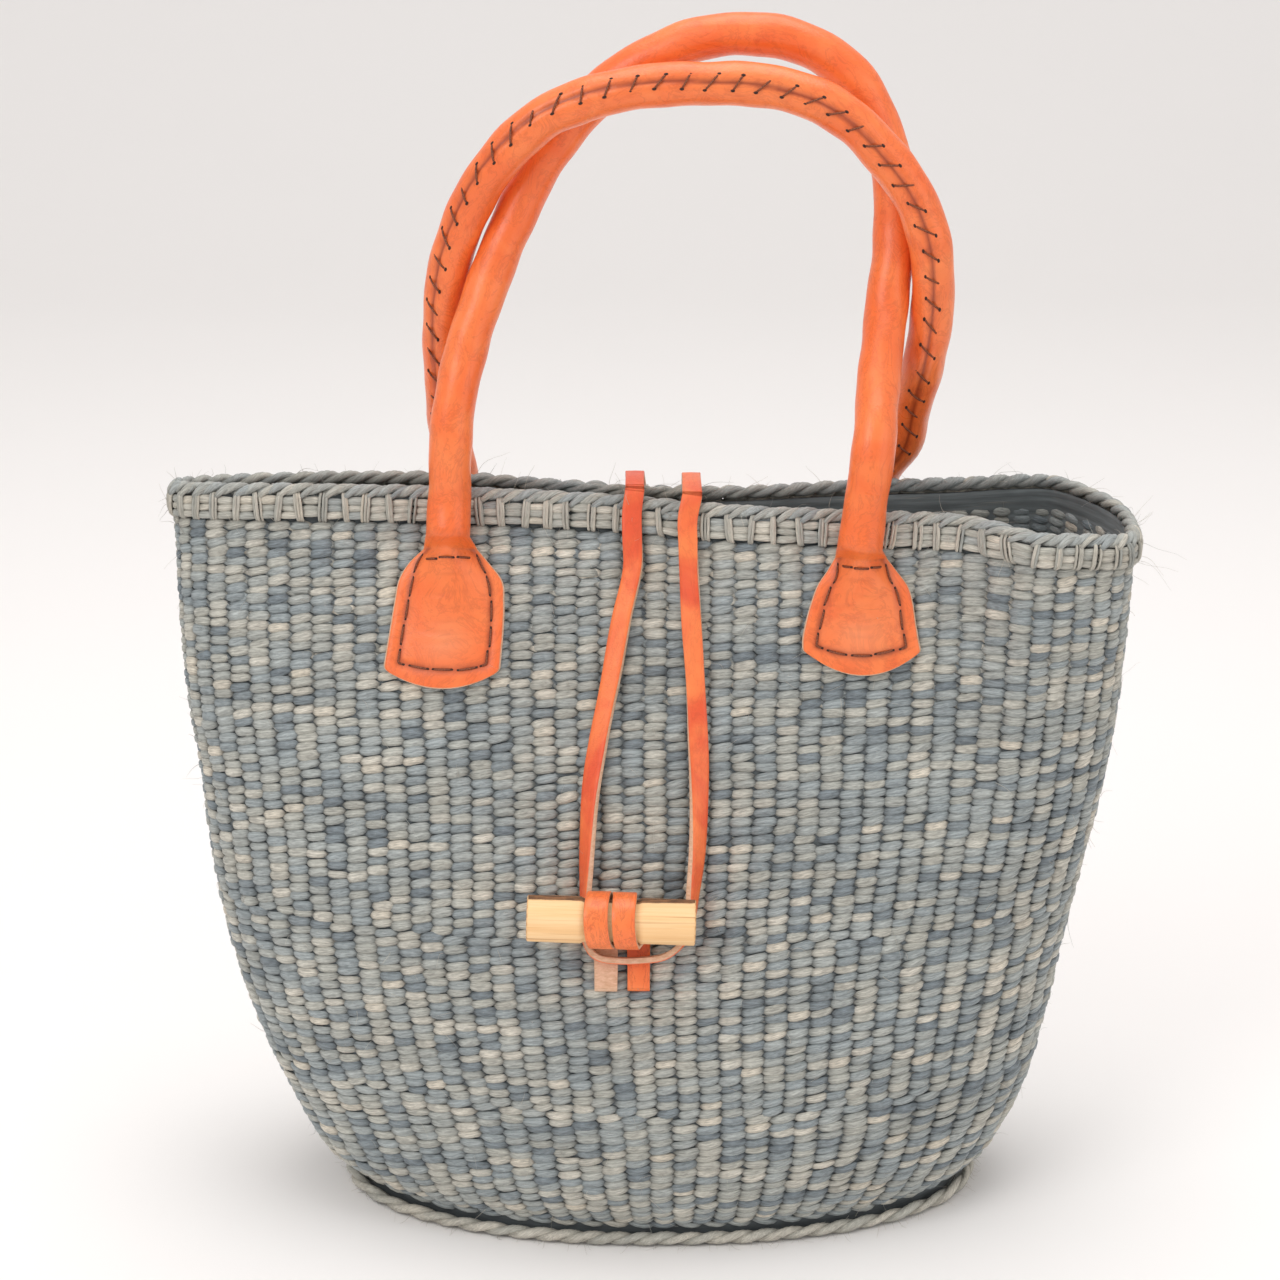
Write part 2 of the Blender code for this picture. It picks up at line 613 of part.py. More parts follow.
def toggle_thong():
    """From inside by the left slit, up behind the toggle, twice round it and in by the right slit."""
    centre, along, out, up = toggle_frame()
    radius = TOGGLE_RADIUS + GAP + THONG_THICKNESS / 2
    into, back = tuck(THONG_SLITS[0], THONG_THICKNESS), tuck(THONG_SLITS[1], THONG_THICKNESS)
    stations = [(point, -look) for point, look in into[::-1]]
    foot_z = TOGGLE_RISE * WALL_HEIGHT
    left = THONG_SLITS[0].across * MOUTH_HALF_WIDTH
    for drop, off in ((1.55, 0.15), (1.18, 0.17), (0.85, 0.32), (0.50, 0.58)):
        z = foot_z - drop * TOGGLE_RADIUS
        stations.append((off_wall(left, z, -1, off * TOGGLE_RADIUS), -wall_normal(left, z, -1)))
    angles = np.arange(0, 671, 22.5)
    places = smooth(angles, column(TURNS, "angle").astype(float), column(TURNS, "along"))
    layers = smooth(angles, column(TURNS, "angle").astype(float), column(TURNS, "layer"))
    for angle, place, layer in zip(np.radians(angles), places, layers):
        look = np.sin(angle) * up - np.cos(angle) * out
        stations.append((centre + along * place * THONG_WIDTH + look * (radius + layer * THONG_THICKNESS), look))
    right = THONG_SLITS[1].across * MOUTH_HALF_WIDTH
    for drop, off, turn in ((0.68, 0.80, 0.80), (0.74, 0.42, 0.60), (1.05, 0.18, 0.10), (1.45, 0.15, 0.0)):
        z = foot_z - drop * TOGGLE_RADIUS
        normal = wall_normal(right, z, -1)
        stations.append((off_wall(right, z, -1, off * TOGGLE_RADIUS), unit(normal * (1 - turn) - up * turn)))
    stations += back
    return strap("toggle_thong", stations, THONG_WIDTH, THONG_THICKNESS, LEATHER)


def over_rim(across, to_front):
    """Stations that take the loop over both edges of the mouth, from the back band to the front band or the other
    way."""
    x = across * MOUTH_HALF_WIDTH
    stations = []
    past = BAND_THICKNESS + GAP + LOOP_THICKNESS / 2 + 0.0012
    for side in (1, -1):
        edge = wall_at(x, WALL_HEIGHT, side)
        rope = edge + np.array([0, -side * WALL / 2, ROPE_RADIUS + GAP])
        clear = ROPE_RADIUS + GAP + LOOP_THICKNESS / 2 + 0.0006
        outer = np.array([0, side * 1.0, 0])
        corner = unit(np.array([0, side * 1.0, 1.2]))
        low = off_wall(x, edge[2] - 1.4 * BAND_HEIGHT, side, past)
        high = off_wall(x, edge[2] - 0.25 * BAND_HEIGHT, side, past)
        ring = [(low, outer), (high, outer), (rope + corner * clear * 1.12, corner), (rope + np.array([0, 0, clear]), np.array([0, 0, 1.0]))]
        stations += ring if side == 1 else ring[::-1]
    return stations if to_front else stations[::-1]


def closure_loop():
    """From the left slit in the back wall over the rim, down to the toggle, round its foot and back again."""
    first, last = tuck(LOOP_SLITS[0], LOOP_THICKNESS), tuck(LOOP_SLITS[1], LOOP_THICKNESS)
    stations = first[::-1] + over_rim(LOOP_WAY[0].across, True)
    points = np.array(
        [off_wall(w.across * MOUTH_HALF_WIDTH, w.rise * WALL_HEIGHT, -1, w.off * LOOP_WIDTH) for w in LOOP_WAY]
    )
    ahead = unit(np.gradient(points, axis=0))
    for way, point, forward in zip(LOOP_WAY, points, ahead):
        normal = wall_normal(way.across * MOUTH_HALF_WIDTH, way.rise * WALL_HEIGHT, -1)
        outward = np.cross(forward, normal)
        twist = np.radians(way.twist)
        stations.append((point, np.cos(twist) * normal + np.sin(twist) * outward))
    stations += over_rim(LOOP_WAY[-1].across, False) + last
    return strap("closure_loop", stations, LOOP_WIDTH, LOOP_THICKNESS, STRAP)


basket_body()
rim_band()
round_ring("rim_rope", 1.0, -WALL / 2, ROPE_RADIUS + GAP, ROPE_RADIUS)
round_ring("base_ridge", 0.5 * RIDGE_RADIUS / WALL_HEIGHT, RIDGE_RADIUS + GAP, 0.5 * RIDGE_RADIUS, RIDGE_RADIUS)
handle("front_handle", FRONT_TABS, back=False)
handle("back_handle", BACK_TABS, back=True)
toggle()
toggle_thong()
closure_loop()
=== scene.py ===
"""The looks of a twined sisal bag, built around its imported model.

The wall, the rim, the base, the leather and the wood are surfaces worked out with numpy from the sizes below. X runs
along the mouth, the front wall faces -Y and Z is up. Lengths are in metres.
"""

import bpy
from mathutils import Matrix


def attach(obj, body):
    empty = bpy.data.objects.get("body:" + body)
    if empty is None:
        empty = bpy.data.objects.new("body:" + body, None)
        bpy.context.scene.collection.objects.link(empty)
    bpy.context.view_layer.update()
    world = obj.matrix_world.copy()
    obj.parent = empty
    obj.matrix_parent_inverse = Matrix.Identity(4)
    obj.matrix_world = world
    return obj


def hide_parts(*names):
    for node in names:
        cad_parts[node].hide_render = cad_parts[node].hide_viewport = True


bl_info = {
    "name": "Sisal Bag",
    "version": (1, 0, 0),
    "blender": (4, 5, 0),
    "location": "View3D > Sidebar > Sisal Bag",
    "description": "Twined strands, bound rim, rolled leather handles, loop and toggle of a sisal bag",
    "category": "Object",
}

from collections import namedtuple

import bpy
import numpy as np

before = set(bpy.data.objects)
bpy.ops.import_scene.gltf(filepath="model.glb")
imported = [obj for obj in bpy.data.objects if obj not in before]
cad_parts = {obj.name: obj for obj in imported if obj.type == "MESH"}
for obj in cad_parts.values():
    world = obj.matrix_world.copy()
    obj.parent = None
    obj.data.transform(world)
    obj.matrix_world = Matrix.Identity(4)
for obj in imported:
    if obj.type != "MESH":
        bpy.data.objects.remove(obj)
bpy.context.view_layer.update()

# Sizes that the solids are made to
MOUTH_HALF_WIDTH = 0.181
WALL_HEIGHT = 0.280
BELLY_HALF_DEPTH = 0.077
WALL = 0.003
GAP = 0.0004
BAND_HEIGHT = 0.008
BAND_THICKNESS = 0.002
ROPE_RADIUS = 0.0025
RIDGE_RADIUS = 0.0026
TUBE_RADIUS = 0.0079
TAB_LENGTH = 0.046
TAB_HALF_WIDTH = 0.022
TAB_THICKNESS = 0.002
NECK_SWELL = 0.0095
TOGGLE_LENGTH = 0.062
TOGGLE_RADIUS = 0.0085
GROOVE_DEPTH = 0.0006
THONG_WIDTH = 0.0086
THONG_THICKNESS = 0.0016
LOOP_WIDTH = 0.0072
LOOP_THICKNESS = 0.0024

# The wall's outline at its heights, as shares of the first three sizes. Rise is the height, shift is where the
# outline's middle stands, roundness is the power of its curve, and pinch says how far the outline has gone from the
# belly's oval to the shape of the mouth.
Section = namedtuple("Section", "rise half_width shift half_depth roundness pinch")
SECTIONS = (
    Section(0.000, 0.670, 0.025, 0.835, 2.15, 0.00),
    Section(0.023, 0.672, 0.025, 0.840, 2.15, 0.00),
    Section(0.060, 0.733, 0.019, 0.925, 2.20, 0.00),
    Section(0.157, 0.810, 0.016, 0.985, 2.25, 0.00),
    Section(0.257, 0.860, 0.004, 1.010, 2.30, 0.00),
    Section(0.379, 0.902, -0.006, 1.000, 2.40, 0.05),
    Section(0.496, 0.932, -0.006, 0.990, 2.55, 0.20),
    Section(0.614, 0.956, 0.000, 0.990, 2.70, 0.39),
    Section(0.729, 0.977, -0.002, 0.990, 2.85, 0.57),
    Section(0.857, 0.987, -0.002, 0.990, 3.05, 0.78),
    Section(1.000, 0.992, 0.000, 0.990, 3.20, 1.00),
)
# The mouth from left to right: where its middle line stands, half of what it gapes, and how far its edge stands above
# WALL_HEIGHT
Mouth = namedtuple("Mouth", "across middle half_gap lift")
MOUTH = (
    Mouth(-1.00, 0.045, 0.130, 0.004),
    Mouth(-0.70, 0.084, 0.143, 0.004),
    Mouth(-0.40, 0.074, 0.149, 0.002),
    Mouth(-0.02, -0.064, 0.117, -0.003),
    Mouth(0.12, -0.138, 0.164, -0.003),
    Mouth(0.45, -0.117, 0.296, -0.005),
    Mouth(0.66, -0.091, 0.396, -0.009),
    Mouth(0.78, -0.143, 0.623, -0.013),
    Mouth(0.88, -0.117, 0.727, -0.018),
    Mouth(1.00, -0.260, 0.714, -0.024),
)
# Hollows in the front (side -1) or the back (side 1), with the turn of each in degrees. A depth below zero swells.
Dent = namedtuple("Dent", "side across rise reach_across reach_up turn depth")
DENTS = (
    Dent(-1, -0.52, 0.27, 0.24, 0.15, -35.0, 0.080),
    Dent(-1, -0.80, 0.42, 0.16, 0.14, -30.0, 0.045),
    Dent(-1, 0.52, 0.35, 0.24, 0.16, 20.0, 0.040),
    Dent(-1, 0.10, 0.16, 0.30, 0.14, 0.0, -0.030),
    Dent(1, 0.15, 0.50, 0.35, 0.22, 10.0, 0.060),
)
# The front handle's middle line above the rim, as shares of MOUTH_HALF_WIDTH, WALL_HEIGHT and BELLY_HALF_DEPTH, and
# where the back handle runs from it, in widths of the tube
Arch = namedtuple("Arch", "across rise depth beside above behind")
ARCHES = (
    Arch(-0.405, 1.095, -0.221, -0.16, -0.71, 2.66),
    Arch(-0.396, 1.146, -0.182, -0.31, -0.52, 2.03),
    Arch(-0.367, 1.222, -0.104, -0.66, -0.28, 1.20),
    Arch(-0.326, 1.297, -0.026, -1.01, -0.11, 0.51),
    Arch(-0.276, 1.373, 0.052, -1.14, 0.04, -0.19),
    Arch(-0.214, 1.449, 0.117, -1.05, 0.09, -0.89),
    Arch(-0.135, 1.513, 0.156, -0.85, 0.02, -1.27),
    Arch(-0.035, 1.566, 0.169, -0.82, -0.42, -1.39),
    Arch(0.085, 1.602, 0.169, -0.97, -0.82, -1.39),
    Arch(0.182, 1.611, 0.169, -0.94, -0.93, -1.39),
    Arch(0.282, 1.604, 0.169, -0.73, -0.84, -1.39),
    Arch(0.363, 1.580, 0.169, -0.47, -0.70, -1.39),
    Arch(0.425, 1.543, 0.156, -0.25, -0.60, -1.27),
    Arch(0.464, 1.494, 0.143, -0.01, -0.42, -1.20),
    Arch(0.494, 1.429, 0.117, 0.39, -0.26, -1.08),
    Arch(0.498, 1.346, 0.052, 0.75, 0.15, -0.76),
    Arch(0.483, 1.273, -0.065, 1.06, 0.00, 0.00),
    Arch(0.467, 1.204, -0.247, 1.10, -0.28, 1.14),
    Arch(0.457, 1.160, -0.377, 1.01, -0.61, 2.41),
    Arch(0.450, 1.115, -0.510, 0.92, -0.97, 3.61),
)
# Tabs from their lower corners up to the neck
TabRow = namedtuple("TabRow", "up half_width drift swell")
SQUARE_TAB = (
    TabRow(0.00, 1.00, -0.16, 0.00),
    TabRow(0.15, 0.99, -0.12, 0.10),
    TabRow(0.38, 0.97, -0.06, 0.26),
    TabRow(0.58, 0.94, -0.02, 0.45),
    TabRow(0.76, 0.88, 0.00, 0.62),
    TabRow(0.89, 0.69, -0.02, 0.80),
    TabRow(1.00, 0.47, 0.00, 1.00),
)
BELL_TAB = (
    TabRow(0.00, 1.00, -0.03, 0.00),
    TabRow(0.14, 0.98, 0.00, 0.12),
    TabRow(0.34, 0.92, 0.00, 0.30),
    TabRow(0.54, 0.85, -0.02, 0.50),
    TabRow(0.72, 0.75, -0.03, 0.68),
    TabRow(0.87, 0.58, -0.02, 0.84),
    TabRow(1.00, 0.44, 0.00, 1.00),
)
Tab = namedtuple("Tab", "side across rise rows length bow")
FRONT_TABS = (
    Tab(-1, -0.410, 0.938, SQUARE_TAB, 0.94, 0.0055),
    Tab(-1, 0.430, 0.950, BELL_TAB, 0.75, 0.0075),
)
BACK_TABS = (
    Tab(1, -0.410, 0.942, BELL_TAB, 0.80, 0.0075),
    Tab(1, 0.490, 0.944, SQUARE_TAB, 0.92, 0.0055),
)
TOGGLE_ACROSS = -0.073
TOGGLE_RISE = 0.486
TOGGLE_SLOPE = -1.6
TOGGLE_OFF = 2.30
# The thong's turns round the toggle: the angle from the toggle's back by its top, the place along the toggle in widths
# of the thong, and the layer in thicknesses of the thong
Turn = namedtuple("Turn", "angle along layer")
TURNS = (
    Turn(0.0, -0.28, 1.30),
    Turn(45.0, -0.42, 0.70),
    Turn(90.0, -0.54, 0.00),
    Turn(180.0, -0.66, 0.00),
    Turn(270.0, -0.33, 0.00),
    Turn(360.0, 0.24, 0.00),
    Turn(450.0, 0.55, 0.00),
    Turn(540.0, 0.51, 0.00),
    Turn(630.0, 0.75, 0.00),
    Turn(670.0, 0.86, 0.00),
)
Slit = namedtuple("Slit", "side across rise")
THONG_SLITS = (Slit(-1, -0.089, 0.394), Slit(-1, -0.022, 0.395))
LOOP_SLITS = (Slit(1, -0.030, 0.800), Slit(1, 0.075, 0.800))
# The loop's way down the front wall, round its foot and up again. Off is its distance from the wall in its own widths,
# and twist is 0 where it lies flat and 90 where it stands on edge.
Way = namedtuple("Way", "across rise off twist")
LOOP_WAY = (
    Way(-0.030, 0.925, 0.52, 4.0),
    Way(-0.055, 0.856, 0.46, 10.0),
    Way(-0.078, 0.780, 0.42, 16.0),
    Way(-0.103, 0.705, 0.42, 24.0),
    Way(-0.119, 0.643, 0.46, 34.0),
    Way(-0.127, 0.568, 0.52, 52.0),
    Way(-0.130, 0.516, 0.58, 68.0),
    Way(-0.133, 0.482, 0.62, 80.0),
    Way(-0.130, 0.456, 0.70, 86.0),
    Way(-0.108, 0.438, 0.86, 88.0),
    Way(-0.060, 0.433, 0.88, 88.0),
    Way(-0.015, 0.434, 0.88, 88.0),
    Way(0.035, 0.440, 0.84, 88.0),
    Way(0.070, 0.458, 0.70, 84.0),
    Way(0.084, 0.484, 0.62, 78.0),
    Way(0.090, 0.517, 0.58, 68.0),
    Way(0.100, 0.574, 0.52, 54.0),
    Way(0.104, 0.663, 0.46, 32.0),
    Way(0.101, 0.730, 0.42, 22.0),
    Way(0.097, 0.789, 0.42, 14.0),
    Way(0.090, 0.870, 0.46, 7.0),
    Way(0.087, 0.925, 0.52, 2.0),
)
UP = np.array([0.0, 0.0, 1.0])


# Numbers from the tables


def column(rows, name):
    """One column of a table as an array."""
    return np.array([getattr(row, name) for row in rows])


def smooth(x, xs, ys):
    """Value at x of a curve through the rows xs, ys: a cubic between two rows, whose slope at a row is the mean of the
    slopes on its two sides."""
    slopes = np.diff(ys) / np.diff(xs)
    bends = np.concatenate(([slopes[0]], (slopes[1:] + slopes[:-1]) / 2, [slopes[-1]]))
    row = np.clip(np.searchsorted(xs, x) - 1, 0, len(xs) - 2)
    step = xs[row + 1] - xs[row]
    t = np.clip((x - xs[row]) / step, 0.0, 1.0)
    near = (1 + 2 * t) * (1 - t) ** 2 * ys[row] + t * (1 - t) ** 2 * step * bends[row]
    far = t * t * (3 - 2 * t) * ys[row + 1] + t * t * (t - 1) * step * bends[row + 1]
    return near + far


def of_rise(name, rise):
    """A column of SECTIONS at any rise."""
    return smooth(rise, column(SECTIONS, "rise"), column(SECTIONS, name))


def of_across(name, across):
    """A column of MOUTH at any place across."""
    return smooth(across, column(MOUTH, "across"), column(MOUTH, name))


def unit(vectors):
    """Vectors of length one."""
    return vectors / np.maximum(np.linalg.norm(vectors, axis=-1, keepdims=True), 1e-12)


def wall(across, side, rise):
    """Points of the wall's outer face. Across goes from -1 to 1, side is -1 for the front and 1 for the back, and rise
    goes from 0 at the floor to 1 at the edge. The outline is y = (1 - across^n)^(1/n)."""
    given = (np.asarray(value, float) for value in (across, side, rise))
    across, side, rise = np.broadcast_arrays(*given)
    power = of_rise("roundness", rise)
    out = (1 - np.clip(np.abs(across), 0, 1) ** power) ** (1 / power)
    pinch = of_rise("pinch", rise)
    half_width = of_rise("half_width", rise)
    half_depth = (1 - pinch) * of_rise("half_depth", rise) + pinch * of_across("half_gap", across)
    y = pinch * of_across("middle", across) + side * half_depth * out
    for dent in DENTS:
        turn = np.radians(dent.turn)
        aside = (across * half_width - dent.across) * MOUTH_HALF_WIDTH
        up = (rise - dent.rise) * WALL_HEIGHT
        along = (aside * np.cos(turn) + up * np.sin(turn)) / (dent.reach_across * MOUTH_HALF_WIDTH)
        over = (up * np.cos(turn) - aside * np.sin(turn)) / (dent.reach_up * WALL_HEIGHT)
        faces = np.clip(dent.side * side, 0, 1) * out * np.clip(rise / 0.08, 0, 1)
        y = y - dent.side * dent.depth * faces * np.exp(-(along**2) - over**2)
    x = MOUTH_HALF_WIDTH * (half_width * across + of_rise("shift", rise))
    z = WALL_HEIGHT * (rise + pinch * of_across("lift", across))
    return np.stack([x, BELLY_HALF_DEPTH * y, z], -1)


def wall_at(x, z, side):
    """The wall's point at a given x and z, found by a few corrections of the rise."""
    x, z = np.broadcast_arrays(np.asarray(x, float), np.asarray(z, float))
    rise = z / WALL_HEIGHT
    for _ in range(8):
        middle = of_rise("shift", rise)
        across = np.clip((x / MOUTH_HALF_WIDTH - middle) / of_rise("half_width", rise), -1, 1)
        point = wall(across, side, rise)
        rise = rise + (z - point[..., 2]) / WALL_HEIGHT
    return point


def wall_normal(x, z, side):
    """Outward normal of the wall at a given x and z."""
    step = 0.002
    right = wall_at(x + step, z, side) - wall_at(x - step, z, side)
    up = wall_at(x, z + step, side) - wall_at(x, z - step, side)
    normal = unit(np.cross(right, up))
    return normal * np.sign(normal[..., 1:2]) * side


def off_wall(x, z, side, off):
    """Point at a distance from the wall's outer face, along the normal at x and z."""
    return wall_at(x, z, side) + wall_normal(x, z, side) * np.asarray(off)[..., None]


class Outline:
    """The wall as a map from turns and height: turn goes once round the wall from 0 to 1, evenly at two thirds of its
    height, and rise goes from 0 to 1. Points and frames are read off a fine grid."""

    TURNS, RISES = 720, 281

    def __init__(self):
        angle = np.linspace(0, 2 * np.pi, 2881)
        points = wall(np.cos(angle), np.where(np.sin(angle) >= 0, 1.0, -1.0), 0.66)
        length = np.concatenate(([0], np.cumsum(np.linalg.norm(np.diff(points, axis=0), axis=1))))
        even = np.interp(np.arange(self.TURNS) / self.TURNS * length[-1], length, angle)
        across, side = np.cos(even)[:, None], np.where(np.sin(even) >= 0, 1.0, -1.0)[:, None]
        rises = np.linspace(0, 1, self.RISES)[None, :]
        grid = wall(across, side, rises)
        grid[:, :, :] = (np.roll(grid, 1, 0) + 2 * grid + np.roll(grid, -1, 0)) / 4
        around = np.roll(grid, -1, 0) - np.roll(grid, 1, 0)
        upward = np.gradient(grid, axis=1)
        self.points = grid
        self.around = unit(around)
        self.normals = unit(np.cross(upward, around)) * -1
        self.upward = unit(np.cross(self.around, self.normals) * -1)
        outward = (self.normals[..., :2] * (grid[..., :2] - grid[..., :2].mean(0))).sum(-1).mean()
        if outward < 0:
            self.normals *= -1
            self.upward *= -1
        self.upward *= np.sign(self.upward[..., 2:].mean())
        lengths = np.linalg.norm(np.diff(grid, axis=1), axis=-1).mean(0)
        self.climb = np.concatenate(([0], np.cumsum(lengths)))
        self.girth = np.linalg.norm(np.roll(grid, -1, 0) - grid, axis=-1).sum(0)

    def read(self, field, turn, rise):
        """Values of a field between the grid's points."""
        turn, rise = np.broadcast_arrays(np.asarray(turn, float) % 1 * self.TURNS, np.asarray(rise, float))
        place = np.clip(rise, 0, 1) * (self.RISES - 1)
        i, j = turn.astype(int) % self.TURNS, np.minimum(place.astype(int), self.RISES - 2)
        a, b = (turn - np.floor(turn))[..., None], (place - j)[..., None]
        k = (i + 1) % self.TURNS
        low = field[i, j] * (1 - a) + field[k, j] * a
        high = field[i, j + 1] * (1 - a) + field[k, j + 1] * a
        return low * (1 - b) + high * b

    def at(self, turn, rise):
        """Point and its frame: outward, round the wall and up the wall. A rise above 1 goes on past the edge."""
        point = self.read(self.points, turn, rise)
        over = np.maximum(np.asarray(rise, float) - 1, 0) * WALL_HEIGHT
        out = self.read(self.normals, turn, rise)
        up = unit(self.read(self.upward, turn, rise))
        return point + up * np.broadcast_to(over, point.shape[:-1])[..., None], unit(out), self.read(self.around, turn, rise), up


OUTLINE = Outline()


def random_numbers(seed):
    """A seeded source of random numbers."""
    return np.random.default_rng(seed)


# Meshes


def grid_faces(count, rings, sides, closed_rings=False, closed_sides=True, first=0):
    """Quads over count separate grids of rings by sides points each, and the place of each corner on its grid."""
    r = np.arange(rings if closed_rings else rings - 1)
    s = np.arange(sides if closed_sides else sides - 1)
    a, b = np.meshgrid(r, s, indexing="ij")
    steps = np.array([(0, 0), (1, 0), (1, 1), (0, 1)])
    ring = a[..., None] + steps[:, 0]
    side = b[..., None] + steps[:, 1]
    one = (ring % rings) * sides + side % sides
    quads = first + (one.reshape(1, -1, 4) + np.arange(count)[:, None, None] * rings * sides).reshape(-1, 4)
    places = np.stack([ring, side], -1).reshape(1, -1, 4, 2)
    return quads, np.broadcast_to(places, (count,) + places.shape[1:]).reshape(-1, 4, 2).astype(float)


def cap_faces(count, rings, sides):
    """Flat ends of count separate tubes, one many-sided face at each end."""
    start = np.arange(sides)
    base = np.arange(count)[:, None] * rings * sides
    return np.concatenate([base + start, base + (rings - 1) * sides + start[::-1]])


class Pile:
    """Points, faces, texture places and point values of one piece, gathered before its mesh is made."""

    def __init__(self):
        self.points, self.faces, self.places, self.values = [], [], [], {}
        self.total = 0

    def add(self, points, faces, places, **values):
        """Add faces, a list of arrays with one row a face, over points. Places hold the texture place of each corner
        of each face."""
        points = np.asarray(points).reshape(-1, 3)
        self.points.append(points)
        for some, where in zip(faces, places):
            self.faces.append(np.asarray(some) + self.total)
            self.places.append(np.asarray(where, float))
        for name, value in values.items():
            filled = np.broadcast_to(np.asarray(value, float).reshape(-1) if np.ndim(value) else value, len(points))
            self.values.setdefault(name, []).append((self.total, filled))
        self.total += len(points)

    def piece(self, name, finish, slot, *nodes):
        """Make the mesh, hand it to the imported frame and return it."""
        mesh = bpy.data.meshes.new(name)
        points = np.concatenate(self.points)
        corners = np.concatenate([some.ravel() for some in self.faces])
        sizes = np.concatenate([np.full(len(some), some.shape[1]) for some in self.faces])
        mesh.vertices.add(len(points))
        mesh.vertices.foreach_set("co", points.astype(np.float32).ravel())
        mesh.loops.add(len(corners))
        mesh.loops.foreach_set("vertex_index", corners.astype(np.int32))
        mesh.polygons.add(len(sizes))
        mesh.polygons.foreach_set("loop_start", (np.cumsum(sizes) - sizes).astype(np.int32))
        mesh.polygons.foreach_set("use_smooth", np.ones(len(sizes), bool))
        mesh.update(calc_edges=True)
        layer = mesh.uv_layers.new(name="Surface")
        layer.data.foreach_set("uv", np.concatenate([p.reshape(-1, 2) for p in self.places]).astype(np.float32).ravel())
        for value_name, parts in self.values.items():
            filled = np.zeros(len(points), np.float32)
            for start, part in parts:
                filled[start : start + len(part)] = part
            mesh.attributes.new(value_name, "FLOAT", "POINT").data.foreach_set("value", filled)
        mesh.validate()
        thing = bpy.data.objects.new(name, mesh)
        bpy.context.scene.collection.objects.link(thing)
        mesh.materials.append(finish)
        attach(thing, "root")
        if nodes:
            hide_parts(*nodes)
        return thing


def add_tubes(pile, lines, first, second, sides, closed=False, turn=0.0, shares=None, **values):
    """Tubes along lines (count, rings, 3). A ring is line + cos(angle) * first + sin(angle) * second, at the angles
    that shares give or at even ones. The texture's u runs along each tube in metres and its v goes round it."""
    lines = np.asarray(lines)
    count, rings = lines.shape[:2]
    angles = np.arange(sides) / sides * 2 * np.pi + turn if shares is None else np.radians(np.asarray(shares))
    sides = len(angles)
    around = np.cos(angles)[:, None] * first[:, :, None, :] + np.sin(angles)[:, None] * second[:, :, None, :]
    points = lines[:, :, None, :] + around
    quads, places = grid_faces(count, rings, sides, closed_rings=closed)
    length = np.concatenate(
        [np.zeros((count, 1)), np.cumsum(np.linalg.norm(np.diff(lines, axis=1), axis=-1), axis=1)], 1
    )
    if closed:
        length = np.concatenate([length, length[:, -1:] * rings / (rings - 1)], 1)
    per = len(quads) // count
    which = np.repeat(np.arange(count), per)[:, None]
    where = np.stack([length[which, places[..., 0].astype(int)], places[..., 1] / sides], -1)
    ring_values = {}
    for name, value in values.items():
        value = np.asarray(value, float)
        if value.ndim == 1:
            value = value[:, None]
        ring_values[name] = np.repeat(np.broadcast_to(value, (count, rings)).reshape(-1), sides)
    faces, spots = [quads], [where]
    if not closed:
        caps = cap_faces(count, rings, sides)
        faces.append(caps)
        spots.append(np.full(caps.shape + (2,), 0.5))
    pile.add(points, faces, spots, **ring_values)
    return points


def along_path(points, count, closed=False):
    """Points at even steps along a smooth path through given ones."""
    points = np.asarray(points)
    length = np.concatenate(([0], np.cumsum(np.linalg.norm(np.diff(points, axis=0), axis=1))))
    even = np.linspace(0, length[-1], count)
    return np.stack([smooth(even, length, points[:, k]) for k in range(3)], -1)


def upright(ahead, guide):
    """Two directions square to a way: one near the guide, and the third."""
    first = unit(guide - ahead * (guide * ahead).sum(-1, keepdims=True))
    return first, np.cross(first, ahead)


# Materials


class Socket:
    """A node's output that takes part in sums, which add Math nodes."""

    def __init__(self, finish, socket):
        self.finish, self.socket = finish, socket

    def math(self, operation, *others):
        inputs = {i: value for i, value in enumerate((self,) + others)}
        return self.finish.node("ShaderNodeMath", {"operation": operation}, inputs)

    def flipped(self, operation, other):
        return self.finish.node("ShaderNodeMath", {"operation": operation}, {0: other, 1: self})

    def __add__(self, other):
        return self.math("ADD", other)

    def __radd__(self, other):
        return self.math("ADD", other)

    def __mul__(self, other):
        return self.math("MULTIPLY", other)

    def __rmul__(self, other):
        return self.math("MULTIPLY", other)

    def __sub__(self, other):
        return self.math("SUBTRACT", other)

    def __rsub__(self, other):
        return self.flipped("SUBTRACT", other)

    def __truediv__(self, other):
        return self.math("DIVIDE", other)

    def __pow__(self, other):
        return self.math("POWER", other)

    def step(self, low, high, from_value=0.0, to_value=1.0):
        """A smooth step from low to high."""
        inputs = {"Value": self, "From Min": low, "From Max": high, "To Min": from_value, "To Max": to_value}
        return self.finish.node("ShaderNodeMapRange", {"interpolation_type": "SMOOTHSTEP"}, inputs)


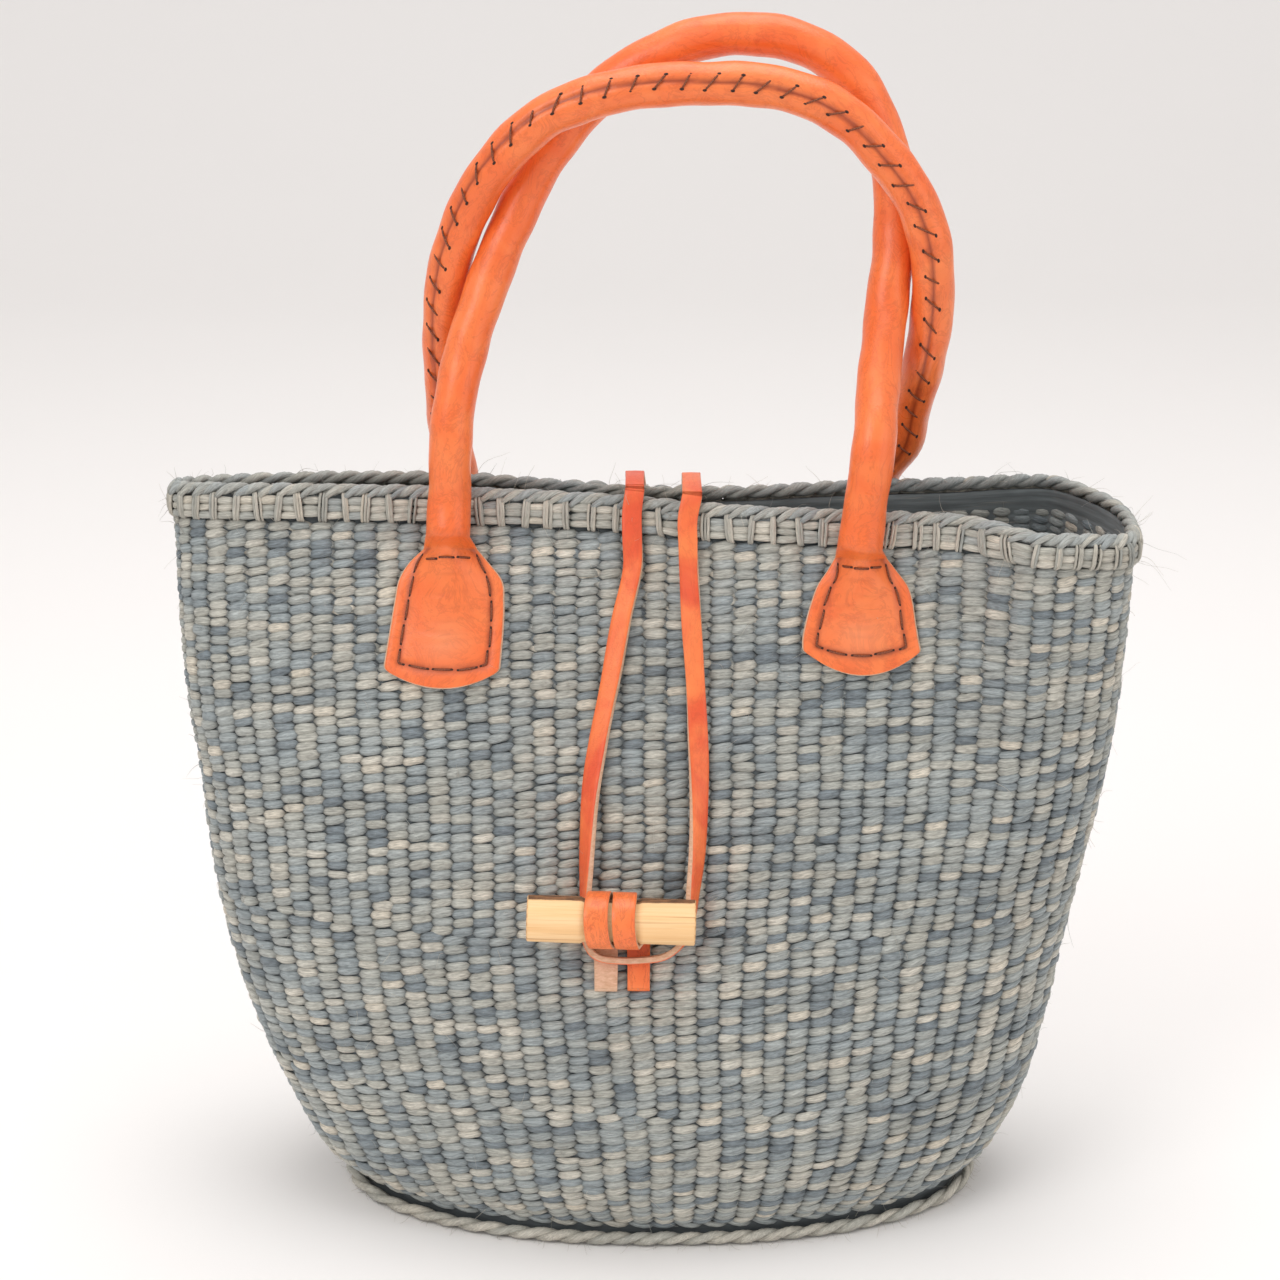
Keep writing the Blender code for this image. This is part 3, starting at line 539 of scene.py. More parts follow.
class Finish:
    """A material being made."""

    def __init__(self, name):
        self.material = bpy.data.materials.new(name)
        self.material.use_nodes = True
        self.tree = self.material.node_tree
        self.tree.nodes.clear()

    def node(self, kind, settings=None, inputs=None, output=0):
        """Add a node of a type, with its settings and the values or links of its sockets."""
        made = self.tree.nodes.new(kind)
        for name, value in (settings or {}).items():
            if name == "stops":
                ramp = made.color_ramp
                while len(ramp.elements) < len(value):
                    ramp.elements.new(0.5)
                for element, (place, colour) in zip(ramp.elements, value):
                    element.position = place
                    element.color = (*colour, 1.0)
            else:
                setattr(made, name, value)
        for name, value in (inputs or {}).items():
            if isinstance(value, Socket):
                self.tree.links.new(value.socket, made.inputs[name])
            elif value is not None:
                socket = made.inputs[name]
                colour = hasattr(value, "__len__") and socket.type == "RGBA" and len(value) == 3
                socket.default_value = (*value, 1.0) if colour else value
        return Socket(self, made.outputs[output]) if len(made.outputs) else None

    def value(self, name):
        """A point value of the piece."""
        return self.node("ShaderNodeAttribute", {"attribute_name": name}, output="Fac")

    def surface(self, across=1.0, along=1.0, shift=None):
        """The piece's own texture place, stretched."""
        place = self.node("ShaderNodeUVMap", {"uv_map": "Surface"})
        vector = self.node("ShaderNodeVectorMath", {"operation": "MULTIPLY"}, {0: place, 1: (along, across, 1.0)})
        if shift is None:
            return vector
        extra = self.node("ShaderNodeCombineXYZ", None, {"Z": shift})
        return self.node("ShaderNodeVectorMath", {"operation": "ADD"}, {0: vector, 1: extra})

    def place(self, stretch=(1.0, 1.0, 1.0)):
        """The place in the bag's own frame, stretched."""
        here = self.node("ShaderNodeTexCoord", output="Object")
        return self.node("ShaderNodeVectorMath", {"operation": "MULTIPLY"}, {0: here, 1: stretch})

    def noise(self, vector, scale, detail=3.0, roughness=0.5, distortion=0.0):
        """Cloudy noise from 0 to 1."""
        inputs = {"Vector": vector, "Scale": scale, "Detail": detail, "Roughness": roughness, "Distortion": distortion}
        return self.node("ShaderNodeTexNoise", None, inputs)

    def blend(self, factor, first, second, way="MIX"):
        """A mix of two colours."""
        return self.node(
            "ShaderNodeMix",
            {"data_type": "RGBA", "blend_type": way},
            {"Factor": factor, 6: first, 7: second},
            output=2,
        )

    def bump(self, height, strength, distance, normal=None):
        """A bump."""
        return self.node(
            "ShaderNodeBump", None, {"Height": height, "Strength": strength, "Distance": distance, "Normal": normal}
        )

    def close(self, **sockets):
        """The shader and the output. Names are those of the shader's sockets with _ for a space."""
        inputs = {name.replace("_", " "): value for name, value in sockets.items()}
        shader = self.node("ShaderNodeBsdfPrincipled", None, inputs)
        self.node("ShaderNodeOutputMaterial", None, {"Surface": shader})
        return self.material


def rgb(setting):
    """A colour setting as a plain tuple."""
    return tuple(setting)[:3]


def sisal_finish(name, colours, lightness=1.0, warm=0.0):
    """Dyed sisal: a tone for each strand, fine fibres along it, and painted shade where it dips."""
    finish = Finish(name)
    tint = finish.value("tint")
    height = finish.value("height")
    tones = finish.node(
        "ShaderNodeValToRGB",
        {
            "stops": (
                (0.0, rgb(colours.deep)),
                (0.28, rgb(colours.blue)),
                (0.55, rgb(colours.grey)),
                (0.80, rgb(colours.pale)),
                (1.0, rgb(colours.straw)),
            )
        },
        {"Fac": tint},
    )
    broad = finish.noise(finish.place((14.0, 14.0, 60.0)), 1.0, 3.0, 0.6)
    fibre = finish.noise(finish.surface(across=16.0, along=260.0, shift=tint * 40.0), 1.0, 4.0, 0.65, 0.3)
    fine = finish.noise(finish.surface(across=46.0, along=420.0, shift=tint * 90.0), 1.0, 2.0, 0.6)
    streak = fibre.step(0.30, 0.72, 0.66, 1.26) * fine.step(0.25, 0.75, 0.86, 1.12)
    # Painted shade: strands are darker where their height value is low, where they dip into the wall and between
    # strands.
    dip_shade = height.step(-0.2, 0.85, 0.42, 1.0)
    light = streak * dip_shade * broad.step(0.25, 0.75, 0.86, 1.10) * lightness
    colour = finish.node("ShaderNodeVectorMath", {"operation": "SCALE"}, {0: tones, "Scale": light})
    speck = finish.noise(finish.surface(across=30.0, along=700.0, shift=tint * 17.0), 1.0, 2.0, 0.5).step(0.66, 0.80)
    colour = finish.blend(speck * 0.55, colour, rgb(colours.straw))
    if warm:
        colour = finish.blend(warm, colour, rgb(colours.straw))
    ridges = fibre * 0.7 + fine * 0.5
    return finish.close(
        Base_Color=colour,
        Roughness=(1.0 - fine * 0.3).math("MULTIPLY", 0.82),
        Normal=finish.bump(ridges, 0.9, 0.00045),
        Specular_IOR_Level=0.32,
        Sheen_Weight=0.12,
    )


def leather_finish(name, colours, face, worn=0.5, gloss=0.34):
    """Dyed vegetable-tanned leather: mottled orange, darker veins and pores, painted shade in the creases and the seam,
    bare pale flesh on the cut edges.
    """
    finish = Finish(name)
    edge = finish.value("edge")
    crease = finish.value("crease")
    rub = finish.value("rub")
    place = finish.place()
    cloud = finish.noise(place, 42.0, 4.0, 0.55, 0.6)
    patch = finish.noise(place, 130.0, 4.0, 0.6, 0.8)
    streak = finish.noise(finish.surface(across=9.0, along=22.0), 1.0, 4.0, 0.6, 0.5)
    vein = finish.noise(finish.surface(across=5.0, along=60.0), 1.0, 5.0, 0.7, 1.4)
    pores = finish.node("ShaderNodeTexVoronoi", {"feature": "F1"}, {"Vector": place, "Scale": 1500.0})
    colour = finish.blend(cloud.step(0.35, 0.72), face, rgb(colours.orange_light))
    colour = finish.blend(patch.step(0.52, 0.80) * 0.65 * worn, colour, rgb(colours.orange_deep))
    colour = finish.blend(streak.step(0.55, 0.80) * 0.60 * worn, colour, rgb(colours.orange_deep))
    thin = (vein - 0.5).math("ABSOLUTE").step(0.0, 0.045, 1.0, 0.0)
    colour = finish.blend(thin * 0.35 * worn, colour, rgb(colours.orange_dark))
    # Painted shade: darker in the creases, along the sunken stitch line and in the tube's seam.
    colour = finish.blend(crease * 0.75, colour, rgb(colours.orange_dark))
    colour = finish.blend(rub * 0.7, colour, rgb(colours.orange_pale))
    flesh_tone = finish.noise(finish.place((300.0, 300.0, 900.0)), 1.0, 4.0, 0.7)
    flesh = finish.blend(flesh_tone.step(0.3, 0.7), rgb(colours.flesh), rgb(colours.flesh_dark))
    bare = (edge + (flesh_tone - 0.5) * 0.5).step(0.35, 0.65)
    colour = finish.blend(bare, colour, flesh)
    shine = patch.step(0.2, 0.8, gloss - 0.08, gloss + 0.10) + bare * 0.4 + rub * 0.15
    grain = finish.noise(place, 900.0, 3.0, 0.6) * 0.5 + pores * 0.5 + vein * 0.6
    normal = finish.bump(grain + flesh_tone * bare * 3.0, 0.35, 0.00035)
    return finish.close(
        Base_Color=colour, Roughness=shine, Normal=normal, Specular_IOR_Level=0.45, Coat_Weight=0.18, Coat_Roughness=0.25
    )


def thread_finish(name, colour, dark):
    """Waxed thread with a twist."""
    finish = Finish(name)
    twist = finish.noise(finish.surface(across=3.0, along=1800.0), 1.0, 2.0, 0.5)
    tone = finish.blend(twist.step(0.3, 0.7), dark, colour)
    return finish.close(Base_Color=tone, Roughness=0.6, Normal=finish.bump(twist, 0.6, 0.0002))


def wood_finish(name, colours):
    """Pale wood with long grain lines and a strip of dark bark left on its top."""
    finish = Finish(name)
    bark = finish.value("bark")
    end = finish.value("end")
    long = finish.noise(finish.surface(across=22.0, along=14.0), 1.0, 4.0, 0.6, 0.4)
    fine = finish.noise(finish.surface(across=90.0, along=40.0), 1.0, 3.0, 0.6)
    lines = finish.noise(finish.surface(across=38.0, along=6.0), 1.0, 2.0, 0.5, 0.2)
    colour = finish.blend(long.step(0.3, 0.7), rgb(colours.wood_pale), rgb(colours.wood))
    colour = finish.blend(lines.step(0.60, 0.70) * 0.75, colour, rgb(colours.wood_line))
    colour = finish.blend(fine.step(0.55, 0.8) * 0.4, colour, rgb(colours.wood_line))
    rings = finish.node(
        "ShaderNodeTexWave",
        {"wave_type": "RINGS", "rings_direction": "SPHERICAL"},
        {"Vector": finish.surface(across=1.0, along=1.0), "Scale": 5.0, "Distortion": 1.5},
    )
    cut = finish.blend(rings.step(0.3, 0.9) * 0.6 + fine * 0.3, rgb(colours.wood), rgb(colours.wood_line))
    colour = finish.blend(end, colour, cut)
    rough = finish.noise(finish.surface(across=30.0, along=120.0), 1.0, 5.0, 0.7)
    skin = finish.blend(rough.step(0.35, 0.65), rgb(colours.bark), rgb(colours.bark_light))
    shown = (bark + (rough - 0.5) * 0.7).step(0.42, 0.62)
    colour = finish.blend(shown, colour, skin)
    height = fine * 0.4 + lines * 0.4 + rough * shown * 3.0
    return finish.close(Base_Color=colour, Roughness=0.5 + shown * 0.35, Normal=finish.bump(height, 0.4, 0.0004))


def plain_finish(name, colour, roughness):
    """A matt surface of one colour with a faint grain."""
    finish = Finish(name)
    cloud = finish.noise(finish.place(), 6.0, 2.0)
    tone = finish.node("ShaderNodeVectorMath", {"operation": "SCALE"}, {0: colour, "Scale": cloud.step(0.2, 0.8, 0.995, 1.0)})
    return finish.close(Base_Color=tone, Roughness=roughness)


# Settings


def colour_setting(name, description, default):
    """A colour that a user can change."""
    return bpy.props.FloatVectorProperty(
        name=name, description=description, default=default, size=3, min=0.0, max=1.0, subtype="COLOR"
    )


def length_setting(name, description, default):
    """A length that a user can change."""
    return bpy.props.FloatProperty(name=name, description=description, default=default, min=0.0, unit="LENGTH")


class SisalColours(bpy.types.PropertyGroup):
    """Tones of the dyed sisal."""

    deep: colour_setting("Deep", "Darkest strands", (0.175, 0.205, 0.225))
    blue: colour_setting("Blue", "Grey-blue strands", (0.33, 0.365, 0.370))
    grey: colour_setting("Grey", "Grey-green strands", (0.44, 0.437, 0.390))
    pale: colour_setting("Pale", "Pale strands", (0.59, 0.555, 0.480))
    straw: colour_setting("Straw", "Undyed strands and fibres", (0.63, 0.57, 0.47))


class LeatherColours(bpy.types.PropertyGroup):
    """Tones of the leather and its thread."""

    orange: colour_setting("Orange", "Face of the handles", (0.84, 0.150, 0.030))
    orange_light: colour_setting("Light orange", "Lighter clouds", (0.90, 0.215, 0.055))
    orange_deep: colour_setting("Deep orange", "Darker mottles", (0.62, 0.070, 0.012))
    # Dark orange colours the real veins and also the painted shade in the creases.
    orange_dark: colour_setting("Dark orange", "Veins and creases", (0.22, 0.022, 0.006))
    orange_pale: colour_setting("Worn orange", "Rubbed places", (0.93, 0.36, 0.17))
    strap: colour_setting("Strap", "Face of the loop", (0.74, 0.085, 0.022))
    flesh: colour_setting("Flesh", "Cut edges and flesh side", (0.80, 0.53, 0.37))
    flesh_dark: colour_setting("Dark flesh", "Darker flesh side", (0.62, 0.36, 0.22))
    thread: colour_setting("Thread", "Waxed thread", (0.30, 0.075, 0.022))
    thread_dark: colour_setting("Dark thread", "Twist of the thread", (0.10, 0.022, 0.008))
    # The awl holes' colour is painted shade, standing in for the dark inside of each hole.
    hole_shade: colour_setting("Hole", "Awl holes", (0.035, 0.012, 0.006))


class WoodColours(bpy.types.PropertyGroup):
    """Tones of the toggle."""

    wood: colour_setting("Wood", "Wood", (0.86, 0.52, 0.235))
    wood_pale: colour_setting("Pale wood", "Pale bands", (0.92, 0.62, 0.33))
    wood_line: colour_setting("Grain line", "Dark grain lines", (0.52, 0.22, 0.07))
    bark: colour_setting("Bark", "Strip of bark", (0.07, 0.035, 0.018))
    bark_light: colour_setting("Light bark", "Worn bark", (0.30, 0.14, 0.06))


class WeaveSizes(bpy.types.PropertyGroup):
    """Sizes of the twined wall."""

    row: length_setting("Row", "Height of one row of twining", 0.00338)
    stitch: length_setting("Stitch", "Width of one stitch at the mouth", 0.0082)
    strand: length_setting("Strand", "Thickness of a strand off the wall", 0.0021)
    slant: length_setting("Slant", "How far a strand climbs on each side of its row", 0.00052)
    sway: length_setting("Sway", "How far rows wander", 0.00055)
    hairs: bpy.props.IntProperty(name="Hairs", description="Count of stray fibres", default=1500, min=0)


class StudioSettings(bpy.types.PropertyGroup):
    """Floor and light."""

    sweep: colour_setting("Sweep", "Paper under and behind the bag", (0.90, 0.875, 0.86))
    world: bpy.props.FloatProperty(name="Room", description="Strength of the light all round", default=0.72, min=0.0)
    key: bpy.props.FloatProperty(name="Key", description="Power of the key light", default=13.0, min=0.0, unit="POWER")
    top: bpy.props.FloatProperty(name="Top", description="Power of the top light", default=13.0, min=0.0, unit="POWER")
    fill: bpy.props.FloatProperty(name="Fill", description="Power of the fill light", default=5.0, min=0.0, unit="POWER")


class BagSettings(bpy.types.PropertyGroup):
    """All settings of the bag."""

    sisal: bpy.props.PointerProperty(type=SisalColours)
    leather: bpy.props.PointerProperty(type=LeatherColours)
    wood: bpy.props.PointerProperty(type=WoodColours)
    weave: bpy.props.PointerProperty(type=WeaveSizes)
    studio: bpy.props.PointerProperty(type=StudioSettings)


def settings():
    """The bag's settings."""
    return bpy.context.scene.sisal_bag


# The wall's strands


def stitches(pile, turn, rise, pitch, spread, climb, depth, lift, fat, tall, tint, inward=False, rings=6, slope=None):
    """Short strands, each over one warp. Along s from -spread to spread, in stitches, a strand climbs by
    climb * sin(pi s) and stands depth + lift * cos(pi s) off the wall. Its section narrows to its ends as
    sqrt(1 - t^2). All of the rest are arrays of one value for each strand."""
    s = np.linspace(-1, 1, rings)[None, :] * spread
    t = np.abs(s) / spread
    width = 0.16 + 0.84 * np.sqrt(np.clip(1 - t**2.4, 0, 1))
    reach = (turn[:, None] + s * pitch[:, None]) % 1.0
    up_shift = climb[:, None] * np.sin(np.pi * s) + (0 if slope is None else slope[:, None] * s)
    point, out, around, up = OUTLINE.at(reach, rise[:, None] + 0 * s)
    off = depth[:, None] + lift[:, None] * np.cos(np.pi * s)
    if inward:
        off = -WALL - off
    line = point + out * off[..., None] + up * up_shift[..., None]
    ahead = unit(np.gradient(line, axis=1))
    first, second = upright(ahead, out)
    shares = (-128, -76, -25, 25, 76, 128)
    if inward:
        shares = (52, 104, 155, 205, 256, 308)
    # The height value darkens each strand towards its ends, where it dips into the wall: painted shade.
    height = (np.cos(np.pi * s) * np.ones((len(turn), 1)) + 0.15) * (0.5 + 0.5 * width)
    add_tubes(
        pile,
        line,
        first * (fat[:, None] * width)[..., None],
        second * (tall[:, None] * width)[..., None],
        6,
        shares=shares,
        tint=tint,
        height=height,
    )


def row_plan(sizes):
    """For each row of the wall its rise, its count of stitches and its order."""
    climb = OUTLINE.climb
    foot, top = 0.0062, climb[-1] - BAND_HEIGHT - 0.0012
    count = int(round((top - foot) / sizes.row))
    heights = foot + (np.arange(count) + 0.5) * (top - foot) / count
    rises = np.interp(heights, climb, np.linspace(0, 1, len(climb)))
    girth = np.interp(rises, np.linspace(0, 1, len(climb)), OUTLINE.girth)
    full = int(round(OUTLINE.girth[-60] / sizes.stitch))
    counts = np.where(rises > 0.46, full, np.where(rises > 0.22, round(full * 0.90), round(full * 0.76)))
    counts[0] = int(round(girth[0] / 0.0105))
    return rises, counts, (top - foot) / count


def row_strands(sizes, chosen, seed, inward=False):
    """Stitch numbers of the chosen rows, each an array over all of their strands."""
    rises, counts, pitch = row_plan(sizes)
    numbers = random_numbers(seed)
    parts = []
    for row in chosen:
        n = counts[row]
        order = np.arange(n)
        turn = (order + 0.5 + numbers.normal(0, 0.045, n)) / n
        waves = np.array([2, 3, 5, 9, 14])
        phase = 0.35 * row * np.array([0.11, 0.07, 0.13, 0.29, 0.41]) + np.array([0.3, 1.7, 4.1, 2.2, 5.0])
        wave = (np.sin(2 * np.pi * turn[:, None] * waves + phase) / np.sqrt(waves)).sum(1)
        shift = sizes.sway * wave * np.clip((len(rises) - row) / 12, 0, 1) * np.clip(row / 6, 0, 1)
        shift = shift + numbers.normal(0, 0.00016, n)
        run = np.interp(turn * 24 % 24, np.arange(25), np.append(numbers.random(24), 0.5))
        tint = np.clip(0.42 + 0.34 * (run - 0.5) + numbers.normal(0, 0.17, n) + 0.10 * (order % 2 - 0.5), 0.02, 1.0)
        odd = numbers.random(n)
        tint = np.where(odd > 0.975, 0.93, np.where(odd < 0.03, 0.06, tint))
        size = np.clip(numbers.normal(1.0, 0.085, n), 0.75, 1.25)
        climb = sizes.slant * np.clip(numbers.normal(1.0, 0.35, n), 0.2, 2.0)
        tall = 0.57 * pitch * size
        lift = np.full(n, 0.00095)
        depth = -0.00165 + numbers.normal(0, 0.00016, n)
        if row == 0 and not inward:
            climb = -1.7 * climb
            tall = tall * 0.92
        rise = rises[row] + shift / WALL_HEIGHT
        parts.append([turn, rise, np.full(n, 1 / n), climb, depth, lift, 0.5 * sizes.strand * size, tall, tint])
    return [np.concatenate([part[k] for part in parts]) for k in range(9)]


def add_rows(pile, sizes, chosen, seed, inward=False, rings=6):
    """Add the strands of the chosen rows."""
    turn, rise, pitch, climb, depth, lift, fat, tall, tint = row_strands(sizes, chosen, seed, inward)
    spread = 0.64
    stitches(pile, turn, rise, pitch, spread, climb, depth, lift, fat, tall, tint, inward, rings)


def backing(pile):
    """The warps behind the strands: a closed shell whose outer face lies 1.9 mm inside the wall's, and which goes on
    under the base."""
    turns = np.arange(180)[None, :] / 180
    rises = np.concatenate([np.linspace(0.004, 0.997, 100)])[:, None]
    outer_point, outer_out, _, _ = OUTLINE.at(turns, rises)
    ribs = 0.00018 * np.cos(2 * np.pi * turns * 96)[..., None]
    outer = outer_point - outer_out * (0.0017 + ribs)
    inner = outer_point[::-1] - outer_out[::-1] * (0.0024 - ribs)
    foot = outer[0]
    middle = foot.mean(0) * np.array([1, 1, 0]) + np.array([0, 0, 0.0008])
    shares = np.array([0.04, 0.35, 0.7, 0.97])[:, None, None]
    under = middle + (foot - middle) * shares * np.array([1, 1, 0])
    lining = middle + np.array([0, 0, 0.0018]) + (foot - middle) * shares[::-1] * 0.985 * np.array([1, 1, 0])
    rings = np.concatenate([under, outer, inner, lining])[None]
    quads, places = grid_faces(1, rings.shape[1], 180)
    caps = cap_faces(1, rings.shape[1], 180)
    where = places * np.array([0.0034, 0.0045])
    count = rings.shape[1]
    inside = np.repeat(np.arange(count) >= 4 + len(outer), 180).astype(float)
    # The shell stands for the warps. Its low tint and height paint it dark, as painted shade in the gaps between the
    # strands and inside the mouth.
    pile.add(
        rings,
        [quads, caps],
        [where, np.zeros(caps.shape + (2,))],
        tint=0.10 + 0.12 * inside,
        height=0.0 + 0.25 * inside,
    )


def underside(pile, seed):
    """Strands of the base: rows in rings round its middle, each stitch lying along its ring."""
    numbers = random_numbers(seed)
    foot = OUTLINE.points[:, 0] * np.array([1, 1, 0])
    middle = foot.mean(0)
    girth = OUTLINE.girth[0]
    for row in range(17):
        share = 0.965 - row * 0.0565
        n = max(int(round(girth * share / 0.0088)), 5)
        turn = (np.arange(n) + 0.5 + numbers.normal(0, 0.04, n)) / n
        s = np.linspace(-1, 1, 6)[None, :] * 0.64
        place = (turn[:, None] + s / n) % 1 * len(foot)
        low = place.astype(int) % len(foot)
        part = (place - np.floor(place))[..., None]
        rim = foot[low] * (1 - part) + foot[(low + 1) % len(foot)] * part
        reach = share + (0.0005 * np.sin(np.pi * s) / 0.09)[..., None]
        line = middle + (rim - middle) * reach
        line = line + UP * (0.0019 - 0.0008 * np.cos(np.pi * s))[..., None]
        ahead = unit(np.gradient(line, axis=1))
        first, second = upright(ahead, np.broadcast_to(-UP, line.shape))
        width = 0.16 + 0.84 * np.sqrt(np.clip(1 - (np.abs(s) / 0.64) ** 2.4, 0, 1))
        tint = np.clip(numbers.normal(0.46, 0.2, n), 0.03, 1)
        # The height value darkens each base stitch towards its ends, where it dips: painted shade.
        height = np.cos(np.pi * s) * np.ones((n, 1)) + 0.1
        wide = 0.0023 if row < 16 else 0.0030
        add_tubes(
            pile,
            line,
            first * 0.00102 * width[..., None],
            second * wide * width[..., None],
            6,
            shares=(-128, -76, -25, 25, 76, 128),
            tint=tint,
            height=height,
        )


# Rim and ridge


def edge_frame(turn, rise=1.0):
    """The wall's edge: point, level outward way, way round and up."""
    point, out, around, _ = OUTLINE.at(turn, np.full(np.shape(turn), rise))
    flat = around * np.array([1, 1, 0])
    flat = unit(flat)
    level = unit(out * np.array([1, 1, 0]))
    level = unit(level - flat * (level * flat).sum(-1, keepdims=True))
    return point, level, around, np.broadcast_to(UP, point.shape)


def twisted_rope(pile, rise, outset, lift, twists, reach, thick, per_twist, seed, plies=2, squash=1.0, tint=0.5, scallop=0.0):
    """Plies that wind round a line along the wall: each stands reach off the line at the angle
    2 pi (twists * turn + its order / plies). The line itself rises and falls by scallop between twists."""
    numbers = random_numbers(seed)
    rings = twists * per_twist
    turn = np.arange(rings)[None, :] / rings
    turn = np.repeat(turn, plies, 0)
    wander = sum(np.sin(2 * np.pi * turn * k + k * 1.7) / k for k in (3, 7, 11, 23))
    point, level, around, up = edge_frame(turn, rise)
    angle = 2 * np.pi * (twists * turn + 0.10 * wander + np.arange(plies)[:, None] / plies)
    arch = scallop * np.abs(np.cos(angle[:1]))
    centre = point + level * outset + up * (lift + 0.00022 * wander + arch)[..., None]
    line = centre + level * (reach * np.cos(angle))[..., None] + up * (reach * squash * np.sin(angle))[..., None]
    ahead = unit(np.roll(line, -1, 1) - np.roll(line, 1, 1))
    away = unit(line - centre)
    first, second = upright(ahead, away)
    noise = numbers.normal(0, 1, (plies, twists * 2))
    bulge = 1 + 0.10 * np.stack([np.interp(turn[i] * twists * 2, np.arange(twists * 2 + 1), np.append(noise[i], noise[i, 0])) for i in range(plies)])
    tone = np.stack(
        [np.interp(turn[i] * 40, np.arange(41), np.append(numbers.random(40), 0.5)) for i in range(plies)]
    )
    # The height value darkens each ply where it turns inward and down, into the rope's hollows: painted shade.
    add_tubes(
        pile,
        line,
        first * (thick * bulge)[..., None],
        second * (thick * 1.12 * bulge)[..., None],
        8,
        closed=True,
        tint=np.clip(tint + 0.4 * (tone - 0.5), 0.02, 1),
        height=np.clip(0.55 + 0.45 * np.cos(angle - 0.6), 0.1, 1),
    )


def band_cells(sizes):
    """Count of bindings round the rim."""
    return int(round(OUTLINE.girth[-1] / (sizes.stitch * 1.0)))


def band(pile, sizes, seed):
    """The bound strip: three level strands from binding to binding, and at each binding three threads that go from
    the edge over the strip and in below it."""
    numbers = random_numbers(seed)
    cells = band_cells(sizes)
    for low, tall in ((0.0018, 0.00165), (0.0043, 0.00150), (0.0068, 0.00155)):
        turn = (np.arange(cells) + 0.5) / cells
        n = cells
        stitches(
            pile,
            turn,
            np.full(n, 1 - low / WALL_HEIGHT) + numbers.normal(0, 0.00045, n) / WALL_HEIGHT * 0.5,
            np.full(n, 1 / n),
            0.60,
            numbers.normal(0.0001, 0.00015, n),
            np.full(n, 0.00010) + numbers.normal(0, 0.00015, n),
            np.full(n, 0.00085),
            np.full(n, 0.00105) * numbers.normal(1, 0.06, n),
            tall * numbers.normal(1.0, 0.07, n),
            np.clip(numbers.normal(0.62, 0.15, n), 0.1, 0.95),
            rings=7,
        )
    path = np.array([(0.0012, -0.0006), (0.0005, 0.0012), (-0.0010, 0.0021), (-0.0035, 0.00225), (-0.0062, 0.0021), (-0.0080, 0.0013), (-0.0088, -0.0006)])
    fine = along_path(np.column_stack([path, np.zeros(len(path))]), 10)[:, :2]
    threads = 3
    slot = np.repeat(np.arange(cells), threads)
    order = np.tile(np.arange(threads) - 1.0, cells)
    n = len(slot)
    lean = np.repeat(numbers.normal(0.0, 0.00055, cells), threads)
    place = slot / cells + numbers.normal(0, 0.0006, n) / 0.76 * 0.5 + np.repeat(numbers.normal(0, 0.0006, cells), threads)
    spacing = order * 0.00098 / OUTLINE.girth[-1]
    along = np.linspace(-1, 1, len(fine))[None, :]
    turn = place[:, None] + spacing[:, None] * (1 - 0.25 * np.abs(along)) + (lean[:, None] * along) / OUTLINE.girth[-1]
    rise = 1 + fine[:, 0][None, :] / WALL_HEIGHT + 0 * turn
    point, out, around, up = OUTLINE.at(turn, rise)
    swell = fine[:, 1][None, :] - 0.00022 * np.abs(order)[:, None] + numbers.normal(0, 0.00008, (n, 1))
    line = point + out * swell[..., None]
    ahead = unit(np.gradient(line, axis=1))
    first, second = upright(ahead, out)
    thick = 0.00056 * numbers.normal(1.0, 0.09, (n, 1)) * np.ones((1, len(fine)))
    add_tubes(
        pile,
        line,
        first * thick[..., None],
        second * thick[..., None] * 1.05,
        6,
        tint=np.clip(numbers.normal(0.68, 0.14, n), 0.2, 1.0),
        height=np.full(n, 0.9),
    )


def arches_over_rim(pile, sizes, seed):
    """One thick strand for each cell, from its binding up over the rope and down to the next: its height is
    sin(pi t) and it moves inward as it goes."""
    numbers = random_numbers(seed)
    cells = band_cells(sizes)
    t = np.linspace(0, 1, 10)[None, :]
    start = (np.arange(cells)[:, None] + 0.02 + numbers.normal(0, 0.06, (cells, 1))) / cells
    turn = start + t * 1.22 / cells
    point, level, around, up = edge_frame(turn)
    climb = -0.0016 + 0.0049 * np.sin(np.pi * np.clip(t * 0.62 + 0.08, 0, 1)) * numbers.normal(1, 0.06, (cells, 1))
    off = 0.0017 - 0.0044 * t**1.3
    line = point + level * off[..., None] + up * climb[..., None]
    ahead = unit(np.gradient(line, axis=1))
    first, second = upright(ahead, level)
    width = 0.35 + 0.65 * np.sin(np.pi * np.clip(0.08 + 0.86 * t, 0, 1)) ** 0.6
    thick = 0.00118 * numbers.normal(1, 0.08, (cells, 1)) * width
    # The height value darkens each strand towards its ends, where it dips in: painted shade.
    add_tubes(
        pile,
        line,
        first * (thick * 0.92)[..., None],
        second * (thick * 1.12)[..., None],
        7,
        tint=np.clip(numbers.normal(0.42, 0.17, cells), 0.05, 0.95),
        height=0.35 + 0.65 * np.sin(np.pi * t) * np.ones((cells, 1)),
    )


# Stray fibres


